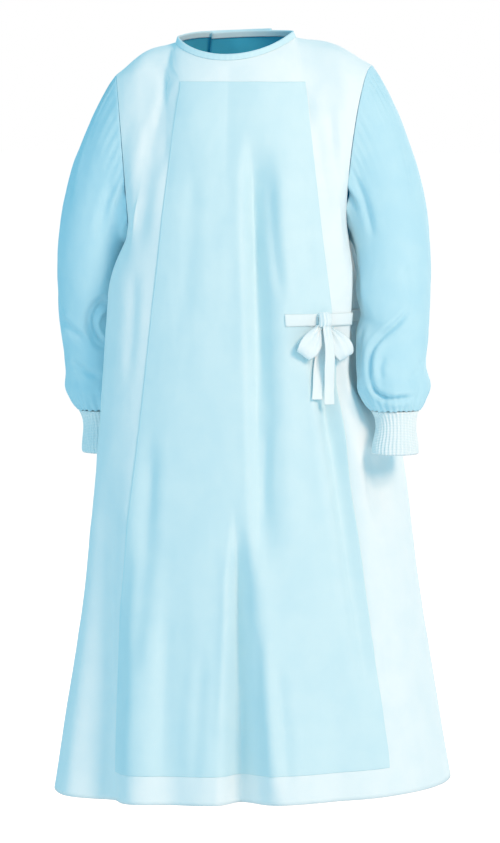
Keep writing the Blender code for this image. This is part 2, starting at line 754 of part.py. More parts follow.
def add_bow(front, outer, inner, normals, material):
    """The belt, the short tie that it is tied to, and the bow."""
    at_bow = column_at_x(front, BELT_ROW, BOW_X)
    low, high = (blend(front[row], at_bow) for row in (BELT_ROW, BELT_ROW + 1))
    anchor = (low + high) / 2
    before, after = (column_at_x(front, BELT_ROW, BOW_X + step) for step in BOW_REACH)
    right = unit(blend(front[BELT_ROW], after) - blend(front[BELT_ROW], before))
    out = unit(np.cross(right, high - low))
    # the bow hangs straight down, though the cloth behind it flares
    up = unit(np.array((0.0, 0.0, 1.0)) - out * out[2])
    right = np.cross(up, out)

    def place(across, below, lift):
        return anchor + right * across - up * below + out * lift

    reach = KNOT_HALF_WIDTH + SEAM_GAP
    start, end = (column_at_x(front, BELT_ROW, x) for x in (TIE_START_X, BOW_X - reach))
    between = range(math.ceil(start + 0.2), math.ceil(end - 0.2))
    stations = [(front, normals[0], column, BELT_LIFT) for column in (start, *between, end)]
    add_sweep("front_tie", tape_sections(stations), material)

    start = column_at_x(front, BELT_ROW, BOW_X + reach)
    beyond = range(math.ceil(start + 0.2), front.shape[1])
    stations = [(front, normals[0], column, BELT_LIFT) for column in (start, *beyond)]
    stations += [(inner, normals[2], column, BELT_LIFT) for column in range(1, SHOULDER_COLUMNS - 2)]
    edge = outer.shape[1] - 1
    last = range(edge, edge - BELT_FLAP_COLUMNS, -1)
    stations += [(outer, normals[1], column, SEAM_GAP) for column in last]
    add_sweep("belt", tape_sections(stations), material)

    sections = []
    for row in KNOT_SECTIONS:
        across = row.across * KNOT_HALF_WIDTH
        middle = (row.low + row.high) / 2
        deep = (row.high - row.low) / 2
        ring = []
        for i in range(KNOT_SIDES):
            turn = 2 * math.pi * (i + 0.5) / KNOT_SIDES
            ring.append(place(across, row.half_height * math.cos(turn), middle + deep * math.sin(turn)))
        sections.append(ring)
    add_sweep("bow_knot", sections, material)

    for name, turn in zip(("bow_loop_inner", "bow_loop_outer"), LOOP_TURNS):
        path = np.array([(row.along, row.out) for row in LOOP_SECTIONS])
        tangents = np.gradient(path, axis=0)
        sections = []
        for row, (along, lift) in zip(LOOP_SECTIONS, tangents):
            length = math.hypot(along, lift)
            side_along, side_lift = lift / length * TRIM_WALL / 2, -along / length * TRIM_WALL / 2
            corners = []
            for width, face in ((-1, -1), (1, -1), (1, 1), (-1, 1)):
                run, rise = row.along + face * side_along, row.out + face * side_lift
                offset = width * row.half_width
                across = run * math.sin(turn) + offset * math.cos(turn)
                below = run * math.cos(turn) - offset * math.sin(turn)
                corners.append(place(across, below, rise))
            sections.append(corners)
        add_sweep(name, sections, material)

    for name, tail in (("bow_tail_front", FRONT_TAIL), ("bow_tail_back", BACK_TAIL)):
        sections = []
        for row in tail:
            corners = []
            for width, face in ((-1, -0.5), (1, -0.5), (1, 0.5), (-1, 0.5)):
                across = row.across + width * row.half_width
                corners.append(place(across, row.down, row.out + face * TRIM_WALL))
            sections.append(corners)
        add_sweep(name, sections, material)


def main():
    for thing in list(bpy.data.objects):
        bpy.data.objects.remove(thing)
    white = colour_of("white_nonwoven", (0.88, 0.94, 0.96), 0.72)
    blue = colour_of("blue_nonwoven", (0.48, 0.78, 0.90), 0.70)
    pale = colour_of("pale_reinforcement", (0.60, 0.83, 0.90), 0.62)
    knit = colour_of("white_knit", (0.86, 0.92, 0.93), 0.88)
    tape = colour_of("binding_tape", (0.70, 0.88, 0.93), 0.70)

    front, outer, inner = build_body()
    left_loop = armhole_loop(front[:, -1], inner[:, 0])
    right_loop = armhole_loop(front[:, 0], outer[:, 0])
    left_sleeve = build_sleeve(1, left_loop, LEFT_ARM)
    right_sleeve = build_sleeve(-1, right_loop, RIGHT_ARM)

    grids = [front, outer, inner, left_sleeve, right_sleeve]
    normals = [
        grid_normals(front),
        grid_normals(outer, flip=True),
        grid_normals(inner),
        grid_normals(left_sleeve, closed=True, flip=True),
        grid_normals(right_sleeve, closed=True),
    ]
    share_normals(list(zip(grids, normals)))

    patch_columns = slice(SHOULDER_COLUMNS, SHOULDER_COLUMNS + FRONT_MIDDLE_COLUMNS + 1)
    patch_rows = slice(1, PATCH_HIGH_ROW + 1)
    patch = front[patch_rows, patch_columns].copy()
    patch_normals = normals[0][patch_rows, patch_columns]
    add_wall(
        "front_reinforcement",
        patch + patch_normals * (SEAM_GAP + TRIM_WALL),
        patch + patch_normals * SEAM_GAP,
        pale,
    )

    neck_middle = slice(SHOULDER_COLUMNS, SHOULDER_COLUMNS + FRONT_MIDDLE_COLUMNS + 1)
    neckline = np.concatenate(
        [
            outer[-1, SHOULDER_COLUMNS:][::-1],
            front[-1, neck_middle][1:-1],
            inner[-1, SHOULDER_COLUMNS:],
        ]
    )
    neck_normals = np.concatenate(
        [
            normals[1][-1, SHOULDER_COLUMNS:][::-1],
            normals[0][-1, neck_middle][1:-1],
            normals[2][-1, SHOULDER_COLUMNS:],
        ]
    )
    add_sweep("neck_binding", binding_sections(neckline, neck_normals), tape)

    for grid in (outer, inner):
        move_edge(grid, column=0)
        move_edge(grid, row=-1)
    move_edge(front, column=0)
    move_edge(front, column=-1)
    move_edge(front, row=-1)
    for sleeve in (left_sleeve, right_sleeve):
        move_edge(sleeve, row=-1)
        move_edge(sleeve, row=0)
    add_bow(front, outer, inner, normals, white)
    names = ("front_panel", "back_outer_panel", "back_inner_panel", "sleeve_left", "sleeve_right")
    cloths = (white, white, white, blue, blue)
    for name, grid, normal, cloth in zip(names, grids, normals, cloths):
        add_wall(name, grid, grid - normal * BODY_WALL, cloth, closed=name.startswith("sleeve"))
    add_cuff("cuff_left", LEFT_ARM, knit)
    add_cuff("cuff_right", RIGHT_ARM, knit)


main()
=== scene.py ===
import math
import bpy
import numpy as np
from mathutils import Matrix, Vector, noise


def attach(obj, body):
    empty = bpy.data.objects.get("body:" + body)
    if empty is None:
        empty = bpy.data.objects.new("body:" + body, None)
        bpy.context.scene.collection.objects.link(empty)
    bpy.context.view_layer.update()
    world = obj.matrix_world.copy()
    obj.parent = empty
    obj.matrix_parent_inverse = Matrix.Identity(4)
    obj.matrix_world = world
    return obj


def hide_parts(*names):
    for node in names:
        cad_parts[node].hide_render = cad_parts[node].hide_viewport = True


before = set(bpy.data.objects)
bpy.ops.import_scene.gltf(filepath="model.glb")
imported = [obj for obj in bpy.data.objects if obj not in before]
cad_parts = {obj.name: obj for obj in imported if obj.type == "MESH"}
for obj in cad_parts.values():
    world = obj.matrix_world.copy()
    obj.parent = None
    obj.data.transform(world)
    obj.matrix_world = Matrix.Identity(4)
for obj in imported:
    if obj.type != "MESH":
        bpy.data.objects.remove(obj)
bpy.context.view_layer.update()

# surgical gown in its worn form: front towards -Y, the wearer's left arm at +X, metres

# form shared by every panel
gown = {
    "hemZ": -1.119, "patchLowZ": -1.077, "beltLowZ": -0.4215, "beltHighZ": -0.4030,
    "armpitZ": -0.300, "patchHighZ": -0.066, "sleeveRoundZ": -0.335,
    "skirtLevels": (-1.010, -0.935, -0.862, -0.794, -0.730, -0.674, -0.624, -0.580, -0.540, -0.500, -0.460),
    "waistLevels": (-0.372, -0.338), "chestRows": 7, "yokeRows": 3,
    "hemSlant": 0.0125, "hemLevelZ": -0.60, "ringPower": 0.90,
    "clearance": 0.011, "pushSoftness": 7, "pushBelowCuff": 0.12, "pushFade": 0.09,
    "shoulderColumns": 7, "middleColumns": 20, "crowding": 0.72,
    "outerColumns": 13, "innerColumns": 8,
    "flapEdgeLow": 1.22, "flapEdgeHigh": 0.36, "innerEdge": 0.32, "flapLift": 0.0048,
    "backNeckColumn": math.radians(138),
}
# z, half width, front depth, back depth, middle x
bodySections = [
    (-1.160, 0.3075, 0.198, 0.188, 0.0165),
    (-1.000, 0.2810, 0.181, 0.172, 0.0150),
    (-0.840, 0.2550, 0.166, 0.158, 0.0140),
    (-0.700, 0.2385, 0.154, 0.147, 0.0120),
    (-0.560, 0.2220, 0.144, 0.136, 0.0080),
    (-0.430, 0.2050, 0.135, 0.126, -0.0010),
    (-0.300, 0.1930, 0.126, 0.120, -0.0060),
]
# z, left edge, right edge of the reinforced front
patchEdges = [(-1.077, -0.196, 0.2345), (-0.066, -0.084, 0.0990)]
# z, middle x, middle y, half width, half depth; the last two rows are the cuff
leftArm = [
    (-0.300, 0.2240, -0.008, 0.0550, 0.0640),
    (-0.335, 0.2270, -0.016, 0.0550, 0.0620),
    (-0.400, 0.2275, -0.036, 0.0545, 0.0580),
    (-0.456, 0.2280, -0.056, 0.0530, 0.0550),
    (-0.495, 0.2295, -0.072, 0.0515, 0.0530),
    (-0.522, 0.2320, -0.082, 0.0480, 0.0490),
    (-0.537, 0.2340, -0.087, 0.0420, 0.0420),
    (-0.5445, 0.2355, -0.089, 0.0360, 0.0360),
    (-0.607, 0.2375, -0.104, 0.0340, 0.0340),
]
rightArm = [
    (-0.300, -0.2270, 0.014, 0.0530, 0.0640),
    (-0.335, -0.2305, 0.022, 0.0530, 0.0620),
    (-0.400, -0.2325, 0.038, 0.0520, 0.0580),
    (-0.456, -0.2320, 0.050, 0.0510, 0.0550),
    (-0.516, -0.2270, 0.058, 0.0490, 0.0520),
    (-0.543, -0.2250, 0.060, 0.0460, 0.0480),
    (-0.557, -0.2245, 0.060, 0.0410, 0.0420),
    (-0.5645, -0.2240, 0.060, 0.0355, 0.0355),
    (-0.629, -0.2200, 0.058, 0.0335, 0.0335),
]
neck = {
    "x": -0.010, "y": -0.006, "halfWidth": 0.089, "frontDepth": 0.066, "backDepth": 0.056,
    "frontDrop": 0.030, "backRise": 0.004, "sideZ": -0.004,
    "shoulderX": 0.192, "shoulderY": 0.006, "shoulderZ": -0.050, "arch": 0.011, "tilt": 0.040,
}
# how the cloth runs into its upper edge: across, forwards, up
runs = {
    "neckFront": (0.00, 0.30, 0.90), "neckSide": (-0.50, 0.85, 0.90),
    "shoulderNeck": (-0.35, 0.90, 0.45), "shoulderTip": (0.16, 1.00, 0.02),
    "armhole": (-0.10, -0.90, 0.30), "cap": (0.55, 0.0, -0.83),
    "neckFull": 0.62, "tipFull": 0.87, "armpitFull": 0.95,
}


def smooth(value):
    value = np.clip(value, 0.0, 1.0)
    return value * value * (3 - 2 * value)


def unit(vector):
    return vector / np.maximum(np.linalg.norm(vector, axis=-1, keepdims=True), 1e-12)


def bell(value, centre, width):
    return np.exp(-(((value - centre) / width) ** 2))


def softPower(value):
    return math.copysign(abs(value) ** gown["ringPower"], value)


def hermite(start, startSlope, end, endSlope, t):
    return (start * (1 - t) ** 2 * (1 + 2 * t) + startSlope * t * (1 - t) ** 2
            + end * t * t * (3 - 2 * t) - endSlope * t * t * (1 - t))


sortedTables = {}


def readTable(rows, z):  # one row of a table at any height, on a smooth curve
    key = id(rows)
    if key not in sortedTables:
        table = np.array(sorted(rows))
        sortedTables[key] = (table, np.gradient(table, table[:, 0], axis=0))
    table, slopes = sortedTables[key]
    zIn = min(max(z, table[0, 0]), table[-1, 0])
    i = min(int(np.searchsorted(table[:, 0], zIn, side="right")) - 1, len(table) - 2)
    span = table[i + 1, 0] - table[i, 0]
    share = (zIn - table[i, 0]) / span
    return hermite(table[i], slopes[i] * span, table[i + 1], slopes[i + 1] * span, share)[1:]


def pushedByArm(point, arm):  # the sleeve that hangs against the body pushes its cloth away
    x, y, halfWidth, halfDepth = readTable(arm, point[2])
    away = np.array((point[0] - x, point[1] - y, 0.0))
    room = gown["clearance"]
    near = max(0.05, math.hypot(away[0] / (halfWidth + room), away[1] / (halfDepth + room)))
    soft = gown["pushSoftness"]
    strength = smooth((point[2] - arm[-1][0] + gown["pushBelowCuff"]) / gown["pushFade"])
    growth = 1 + ((1 + near**soft) ** (1 / soft) / near - 1) * strength
    return np.array((x, y, point[2])) + away * growth


def ringPoint(angle, level):
    hang = smooth((gown["hemLevelZ"] - level) / (gown["hemLevelZ"] - gown["hemZ"]))
    z = level + hang * gown["hemSlant"] * math.sin(angle)
    halfWidth, frontDepth, backDepth, middleX = readTable(bodySections, z)
    facing = math.cos(angle)
    depth = frontDepth if facing > 0 else backDepth
    point = np.array((middleX + halfWidth * softPower(math.sin(angle)), -depth * softPower(facing), z))
    return pushedByArm(pushedByArm(point, leftArm), rightArm)


def patchEdge(side, z):
    column = 2 if side > 0 else 1
    return float(np.interp(z, [row[0] for row in patchEdges], [row[column] for row in patchEdges]))


def columnAngle(face, column, z):
    size = abs(column)
    if face == "front":
        halfWidth, _, _, middleX = readTable(bodySections, z)
        reach = abs(patchEdge(math.copysign(1, column), z) - middleX)
        turn = math.asin((reach / halfWidth) ** (1 / gown["ringPower"]))
    else:
        turn = math.pi - gown["backNeckColumn"]
    angle = size * turn if size < 1 else turn + (size - 1) * (math.pi / 2 - turn)
    return math.copysign(angle, column) if face == "front" else math.pi - math.copysign(angle, column)


def topPoint(face, column):
    size = min(abs(column), 2.0)
    side = math.copysign(1.0, column)
    if size <= 1:
        turn = column * math.pi / 2
        x = neck["x"] + neck["halfWidth"] * math.sin(turn)
        if face == "front":
            y = neck["y"] - neck["frontDepth"] * math.cos(turn)
            z = neck["sideZ"] - neck["frontDrop"] * math.cos(turn) ** 1.6
        else:
            y = neck["y"] + neck["backDepth"] * math.cos(turn)
            z = neck["sideZ"] + neck["backRise"] * math.cos(turn)
        return np.array((x, y, z + neck["tilt"] * x))
    out = size - 1
    inner = np.array((neck["x"] + side * neck["halfWidth"], neck["y"], neck["sideZ"]))
    tip = np.array((side * neck["shoulderX"], neck["shoulderY"], neck["shoulderZ"]))
    point = inner + (tip - inner) * out
    point[2] += neck["arch"] * math.sin(out * math.pi) ** 1.5 + neck["tilt"] * point[0]
    return point


def turned(run, face, side):
    return np.array(run) * (side, 1.0 if face == "front" else -1.0, 1.0)


def topSlope(face, column):
    size = min(abs(column), 2.0)
    if size <= 1:
        share, names = math.sin(size * math.pi / 2), ("neckFront", "neckSide")
    else:
        share, names = smooth(size - 1), ("shoulderNeck", "shoulderTip")
    first, last = (turned(runs[name], face, math.copysign(1.0, column)) for name in names)
    return unit(first + (last - first) * share)


def upperCurve(face, column):
    level = gown["armpitZ"]
    start = ringPoint(columnAngle(face, column, level), level)
    lower = ringPoint(columnAngle(face, column, level - 0.01), level - 0.01)
    end = topPoint(face, column)
    chord = np.linalg.norm(end - start)
    outside = smooth(abs(column) - 1.0)
    armhole = unit(turned(runs["armhole"], face, math.copysign(1.0, column)))
    startRun = unit(unit(start - lower) * (1 - outside**2) + armhole * outside**2)
    startRun = startRun * chord * runs["armpitFull"]
    full = runs["neckFull"] + (runs["tipFull"] - runs["neckFull"]) * outside
    endRun = topSlope(face, column) * chord * full
    return lambda t: hermite(start, startRun, end, endRun, t)


def halved(isBelow, low, high, times):  # closes in on the place where isBelow turns false
    for _ in range(times):
        middle = (low + high) / 2
        low, high = (middle, high) if isBelow(middle) else (low, middle)
    return (low + high) / 2


def shareAtHeight(follow, z):
    return halved(lambda share: follow(share)[2] < z, 0.0, 1.0, 26)


def pointAt(face, column, z):
    follow = upperCurve(face, column)
    return follow(shareAtHeight(follow, z))


def patchColumn(side, z):
    edge = abs(patchEdge(side, z))
    return halved(lambda column: abs(pointAt("front", side * column, z)[0]) < edge, 0.3, 1.7, 18)


def shifted(column, shares):
    share = shares[0] if column < 0 else shares[1]
    size = abs(column)
    return math.copysign(size * share if size < 1 else share + (size - 1) * (2 - share), column)


bodyLevels = [gown["hemZ"], gown["patchLowZ"], *gown["skirtLevels"], gown["beltLowZ"], gown["beltHighZ"],
              *gown["waistLevels"], gown["armpitZ"]]
chestLevels = np.linspace(gown["armpitZ"], gown["patchHighZ"], gown["chestRows"] + 1)[1:]
armpitRow = len(bodyLevels) - 1
patchHighRow = armpitRow + gown["chestRows"]
beltRow = bodyLevels.index(gown["beltLowZ"])
# one nominal height for each row, the same on every panel, so that shared seams stay shared
rowHeights = [*bodyLevels, *chestLevels, *(gown["patchHighZ"] + 0.030 * i for i in (1, 2, 3))]


def heightShare(level):
    return (level - gown["hemZ"]) / -gown["hemZ"]


def sideColumns():
    return np.linspace(2, 1, gown["shoulderColumns"] + 1)[:-1]


def frontColumns(share):
    even = np.linspace(-1, 1, gown["middleColumns"] + 1)
    middle = gown["crowding"] * even + (1 - gown["crowding"]) * even**3
    return [*-sideColumns(), *middle, *sideColumns()[::-1]]


def outerColumns(share):
    edge = gown["flapEdgeLow"] + (gown["flapEdgeHigh"] - gown["flapEdgeLow"]) * smooth((share - 0.45) / 0.55)
    return [*-sideColumns(), *np.linspace(-1, edge, gown["outerColumns"] + 1)]


def innerColumns(share):
    return [*sideColumns(), *np.linspace(1, -gown["innerEdge"], gown["innerColumns"] + 1)]


def panelGrid(face, columnsAt):
    rows = []
    shares = (1.0, 1.0)
    for level in bodyLevels:
        rows.append([ringPoint(columnAngle(face, c, level), level) for c in columnsAt(heightShare(level))])
    for level in chestLevels:
        if face == "front":
            shares = (patchColumn(-1, level), patchColumn(1, level))
        rows.append([pointAt(face, shifted(c, shares), level) for c in columnsAt(heightShare(level))])
    for i in range(1, gown["yokeRows"] + 1):
        up = i / gown["yokeRows"]
        easing = [share + (1 - share) * up for share in shares]
        rows.append([])
        for column in columnsAt(heightShare(gown["patchHighZ"] * (1 - up))):
            follow = upperCurve(face, shifted(column, easing))
            t = shareAtHeight(follow, gown["patchHighZ"])
            rows[-1].append(follow(t + (1 - t) * up))
    return np.array(rows)


def easeSides(grid, ends):  # beside an armhole the cloth runs to its edge without a hook
    eased = grid.copy()
    rows = np.arange(len(grid))
    weight = (smooth((rows - armpitRow + 2) / 3) * smooth((patchHighRow + 2 - rows) / 4))[:, None]
    for end in ends:
        columns = range(6) if end == "first" else range(-1, -7, -1)
        edge, inner = grid[:, columns[0]], grid[:, columns[5]]
        away = unit(np.cross(inner - edge, (0.0, 0.0, 1.0)))
        away = np.where((away * (inner - (0.0, 0.0, -0.2))).sum(axis=1, keepdims=True) < 0, -away, away)
        for k in range(1, 5):
            straight = edge + (inner - edge) * k / 5 + away * 0.003 * math.sin(math.pi * k / 5)
            eased[:, columns[k]] += (straight - grid[:, columns[k]]) * weight
    return eased


def refine(grid, places, count, axis=0, corners=()):  # smooth curves through a grid, which may turn a corner
    points = np.moveaxis(grid, axis, 0)
    places = np.asarray(places, float)
    leaving = np.gradient(points, places, axis=0)
    arriving = leaving.copy()
    for at, sharp in corners:
        before = (points[at] - points[at - 1]) / (places[at] - places[at - 1])
        after = (points[at + 1] - points[at]) / (places[at + 1] - places[at])
        arriving[at] = arriving[at] * (1 - sharp) + before * sharp
        leaving[at] = leaving[at] * (1 - sharp) + after * sharp
    made = []
    for i in range(len(points) - 1):
        span = places[i + 1] - places[i]
        for k in range(count):
            ends = (points[i], leaving[i] * span, points[i + 1], arriving[i + 1] * span)
            made.append(hermite(*ends, k / count))
    made.append(points[-1])
    return np.moveaxis(np.array(made), 0, axis)


def smoothRows(rows, count):
    return refine(np.array(rows), np.arange(len(rows)), count)


def gridNormals(grid, closed=False, flip=False):
    if closed:
        wide = np.concatenate([grid[:, -1:], grid, grid[:, :1]], axis=1)
        across = (wide[:, 2:] - wide[:, :-2]) / 2
    else:
        across = np.gradient(grid, axis=1)
    normals = np.cross(across, np.gradient(grid, axis=0))
    return unit(-normals if flip else normals)


# folds and creases
# high end x z, low end x z, width high low, depth high low, fade, lean;
# a lean above 1 makes the side at the wearer's left the gentler one
frontFolds = [
    (0.026, -0.130, 0.046, -0.800, 0.016, 0.014, 0.033, 0.009, 0.12, 1.6),
    (0.008, -0.680, 0.014, -1.300, 0.007, 0.027, 0.010, 0.078, 0.10, 1.8),
    (-0.200, -0.600, -0.212, -1.300, 0.022, 0.036, 0.011, 0.054, 0.18, 1.25),
    (0.130, -0.450, 0.208, -0.990, 0.017, 0.016, 0.028, 0.006, 0.08, 1.3),
    (0.126, -0.105, 0.150, -0.290, 0.012, 0.016, 0.004, 0.005, 0.05, 1.0),
    (-0.118, -0.090, -0.150, -0.330, 0.014, 0.018, 0.005, 0.009, 0.07, 1.0),
    (-0.080, -0.760, -0.088, -1.300, 0.020, 0.034, 0.002, 0.013, 0.14, 1.0),
    (0.150, -0.860, 0.178, -1.300, 0.020, 0.034, 0.001, 0.014, 0.14, 1.0),
]
backFolds = [
    (-0.120, -0.480, -0.165, -1.300, 0.018, 0.038, 0.003, 0.026, 0.16, 1.0),
    (-0.030, -0.620, -0.045, -1.300, 0.016, 0.036, 0.002, 0.022, 0.16, 1.0),
    (0.075, -0.520, 0.110, -1.300, 0.018, 0.036, 0.003, 0.024, 0.16, 1.0),
    (0.170, -0.560, 0.225, -1.300, 0.018, 0.030, 0.003, 0.018, 0.16, 1.0),
]
# each crease: its line as x z pairs, its width, its depth, and how far its left side is raised
frontCreases = [
    ([(0.054, -0.190), (0.060, -0.290), (0.074, -0.400)], 0.007, 0.0034, 0.0016),
    ([(0.034, -0.240), (0.040, -0.400), (0.050, -0.560)], 0.009, 0.0028, 0.0012),
    ([(0.136, -0.100), (0.146, -0.165), (0.156, -0.235)], 0.006, 0.0024, 0.0012),
    ([(0.150, -0.180), (0.160, -0.225), (0.172, -0.270)], 0.006, 0.0024, 0.0010),
    ([(0.118, -0.120), (0.124, -0.180), (0.138, -0.260)], 0.007, 0.0022, 0.0010),
    ([(-0.128, -0.110), (-0.140, -0.170), (-0.154, -0.240)], 0.007, 0.0022, 0.0010),
    ([(-0.105, -0.085), (-0.118, -0.135), (-0.140, -0.190)], 0.008, 0.0018, 0.0008),
    ([(0.148, -0.455), (0.172, -0.540), (0.206, -0.650), (0.214, -0.720)], 0.008, 0.0042, 0.0022),
    ([(0.165, -0.440), (0.188, -0.500), (0.214, -0.560)], 0.006, 0.0028, 0.0014),
    ([(0.120, -0.450), (0.132, -0.530), (0.150, -0.620)], 0.008, 0.0022, 0.0010),
    ([(0.055, -0.560), (0.050, -0.640), (0.052, -0.720)], 0.007, 0.0022, 0.0010),
    ([(0.004, -0.735), (0.006, -0.880), (-0.002, -1.060)], 0.006, 0.0030, 0.0022),
    ([(0.070, -0.900), (0.080, -1.000), (0.092, -1.119)], 0.010, 0.0040, 0.0016),
    ([(0.040, -0.850), (0.046, -0.980), (0.054, -1.119)], 0.008, 0.0036, 0.0016),
    ([(-0.120, -0.560), (-0.128, -0.760), (-0.142, -0.980)], 0.012, 0.0046, 0.0020),
    ([(-0.150, -0.700), (-0.160, -0.900), (-0.172, -1.119)], 0.012, 0.0046, 0.0020),
    ([(-0.096, -0.820), (-0.100, -0.960), (-0.104, -1.119)], 0.011, 0.0030, 0.0014),
    ([(-0.040, -0.880), (-0.044, -1.000), (-0.050, -1.119)], 0.010, 0.0022, 0.0010),
    ([(0.205, -0.720), (0.222, -0.840), (0.240, -0.960)], 0.009, 0.0026, 0.0012),
    ([(0.222, -0.860), (0.236, -0.980), (0.256, -1.119)], 0.010, 0.0030, 0.0014),
    ([(-0.150, -0.330), (-0.152, -0.420), (-0.160, -0.520)], 0.009, 0.0024, 0.0010),
    ([(0.105, -0.250), (0.110, -0.320), (0.122, -0.400)], 0.009, 0.0020, 0.0008),
    ([(-0.060, -0.180), (-0.064, -0.300), (-0.075, -0.440)], 0.012, 0.0018, 0.0008),
    ([(-0.094, -0.050), (-0.112, -0.090), (-0.124, -0.150)], 0.006, 0.0020, 0.0008),
]
backCreases = [
    ([(-0.060, -0.120), (-0.072, -0.220), (-0.090, -0.330)], 0.010, 0.0024, 0.0012),
    ([(0.110, -0.110), (0.124, -0.180), (0.142, -0.260)], 0.009, 0.0024, 0.0012),
    ([(-0.130, -0.100), (-0.142, -0.170), (-0.156, -0.250)], 0.008, 0.0024, 0.0012),
    ([(0.040, -0.180), (0.046, -0.300), (0.060, -0.420)], 0.012, 0.0022, 0.0010),
    ([(-0.100, -0.560), (-0.108, -0.700), (-0.125, -0.860)], 0.011, 0.0034, 0.0016),
    ([(0.010, -0.520), (0.006, -0.700), (0.012, -0.900)], 0.012, 0.0026, 0.0012),
    ([(0.120, -0.620), (0.136, -0.780), (0.160, -0.960)], 0.010, 0.0032, 0.0014),
    ([(0.150, -0.440), (0.164, -0.520), (0.185, -0.620)], 0.009, 0.0026, 0.0012),
    ([(-0.180, -0.700), (-0.196, -0.880), (-0.224, -1.119)], 0.010, 0.0036, 0.0016),
    ([(0.060, -0.820), (0.068, -0.960), (0.084, -1.119)], 0.010, 0.0032, 0.0014),
    ([(-0.010, -0.860), (-0.010, -0.980), (-0.018, -1.119)], 0.011, 0.0030, 0.0014),
    ([(0.200, -0.760), (0.218, -0.920), (0.248, -1.119)], 0.010, 0.0034, 0.0014),
]


def foldDepth(folds, x, z):
    total = np.zeros_like(x)
    for highX, highZ, lowX, lowZ, highWidth, lowWidth, highDepth, lowDepth, fade, lean in folds:
        share = np.clip((z - highZ) / (lowZ - highZ), 0, 1)
        inside = smooth((highZ - z) / fade) * smooth((z - lowZ) / fade)
        off = (x - (highX + (lowX - highX) * share)) / (highWidth + (lowWidth - highWidth) * share)
        lobe = np.where(off > 0, 0.62, 0.62 / lean**2)
        off = np.where(off > 0, off / lean, off * lean)
        deep = inside * (highDepth + (lowDepth - highDepth) * share)
        total += deep * (1 - lobe * off**2) * np.exp(-off**2 / 2)
    return total


def creaseDepth(creases, x, z):
    total = np.zeros_like(x)
    for line, width, depth, raised in creases:
        table = smoothRows(line, 5)
        lengths = np.linalg.norm(np.diff(table, axis=0), axis=1)
        travelled = np.concatenate([[0], np.cumsum(lengths)])
        nearest = np.full(x.shape, 9.0)
        side = np.zeros_like(x)
        along = np.zeros_like(x)
        for i, length in enumerate(lengths):
            runX, runZ = (table[i + 1] - table[i]) / length
            offX, offZ = x - table[i, 0], z - table[i, 1]
            reach = np.clip(offX * runX + offZ * runZ, 0, length)
            away = np.hypot(offX - runX * reach, offZ - runZ * reach)
            closer = away < nearest
            nearest = np.where(closer, away, nearest)
            side = np.where(closer, offX * runZ - offZ * runX, side)
            along = np.where(closer, travelled[i] + reach, along)
        share = along / travelled[-1]
        ends = smooth(share / 0.22) * smooth((1 - share) / 0.30)
        off = np.copysign(nearest, side) / width  # above 0 on the left of the line, going down it
        groove = bell(off, 0, 1) - 0.30 * bell(off, -1.9, 1)
        total += ends * (depth * groove - raised * bell(off, 2.1, 1.3))
    return total


def crumple(grid, size, depth, seed):  # the light crush of a nonwoven sheet
    flat = grid.reshape(-1, 3) / size + seed
    found = [noise.fractal(Vector((p[0], p[1], p[2] * 0.6)), 0.9, 2.0, 3) for p in flat]
    return depth * np.array(found).reshape(grid.shape[:2])


print("form ready")

# meshes
def addObject(name, data):
    made = bpy.data.objects.new(name, data)
    bpy.context.scene.collection.objects.link(made)
    return made


def addGrid(name, outer, closed, thickness, sizes, middle):
    rows, columns = outer.shape[:2]
    spans = columns if closed else columns - 1
    rowStart, step = np.arange(rows - 1)[:, None] * columns, np.arange(spans)
    a, b = (rowStart + step).reshape(-1), (rowStart + (step + 1) % columns).reshape(-1)
    faces = np.stack([a, b, b + columns, a + columns], axis=1)
    points = outer.reshape(-1, 3)
    mid = points[faces].mean(axis=1)
    facing = np.cross(points[faces[:, 2]] - points[faces[:, 0]], points[faces[:, 3]] - points[faces[:, 1]])
    if (facing * (mid - middle)).sum() < 0:
        faces = faces[:, ::-1]
    mesh = bpy.data.meshes.new(name)
    mesh.from_pydata(points.tolist(), [], faces.tolist())
    width, height = sizes
    uvs = mesh.uv_layers.new(name="cloth")
    rowOf, columnOf = faces // columns, faces % columns
    if closed:
        wrap = (columnOf.max(axis=1, keepdims=True) - columnOf.min(axis=1, keepdims=True)) > 1
        columnOf = np.where(wrap & (columnOf == 0), columns, columnOf)
    flatUv = np.stack([columnOf / spans * width, rowOf / (rows - 1) * height], axis=-1).reshape(-1)
    uvs.data.foreach_set("uv", flatUv.astype(np.float32))
    mesh.shade_smooth()
    piece = addObject(name, mesh)
    wall = piece.modifiers.new("wall", "SOLIDIFY")
    wall.thickness = thickness
    wall.offset = -1
    wall.use_even_offset = False
    wall.material_offset = 1  # the inside gets its own deep blue material, a painted shade for the shadowed inside of the gown
    return piece


def measure(grid, closed=False):  # width, height and area of a grid's cloth
    loop = np.concatenate([grid, grid[:, :1]], axis=1) if closed else grid
    across = np.linalg.norm(np.diff(loop, axis=1), axis=2).sum(axis=1)
    up = np.linalg.norm(np.diff(loop, axis=0), axis=2).sum(axis=0)
    corners = np.cross(loop[1:, 1:] - loop[:-1, :-1], loop[1:, :-1] - loop[:-1, 1:])
    return float(across.max()), float(up.max()), float(np.linalg.norm(corners, axis=2).sum() / 2)


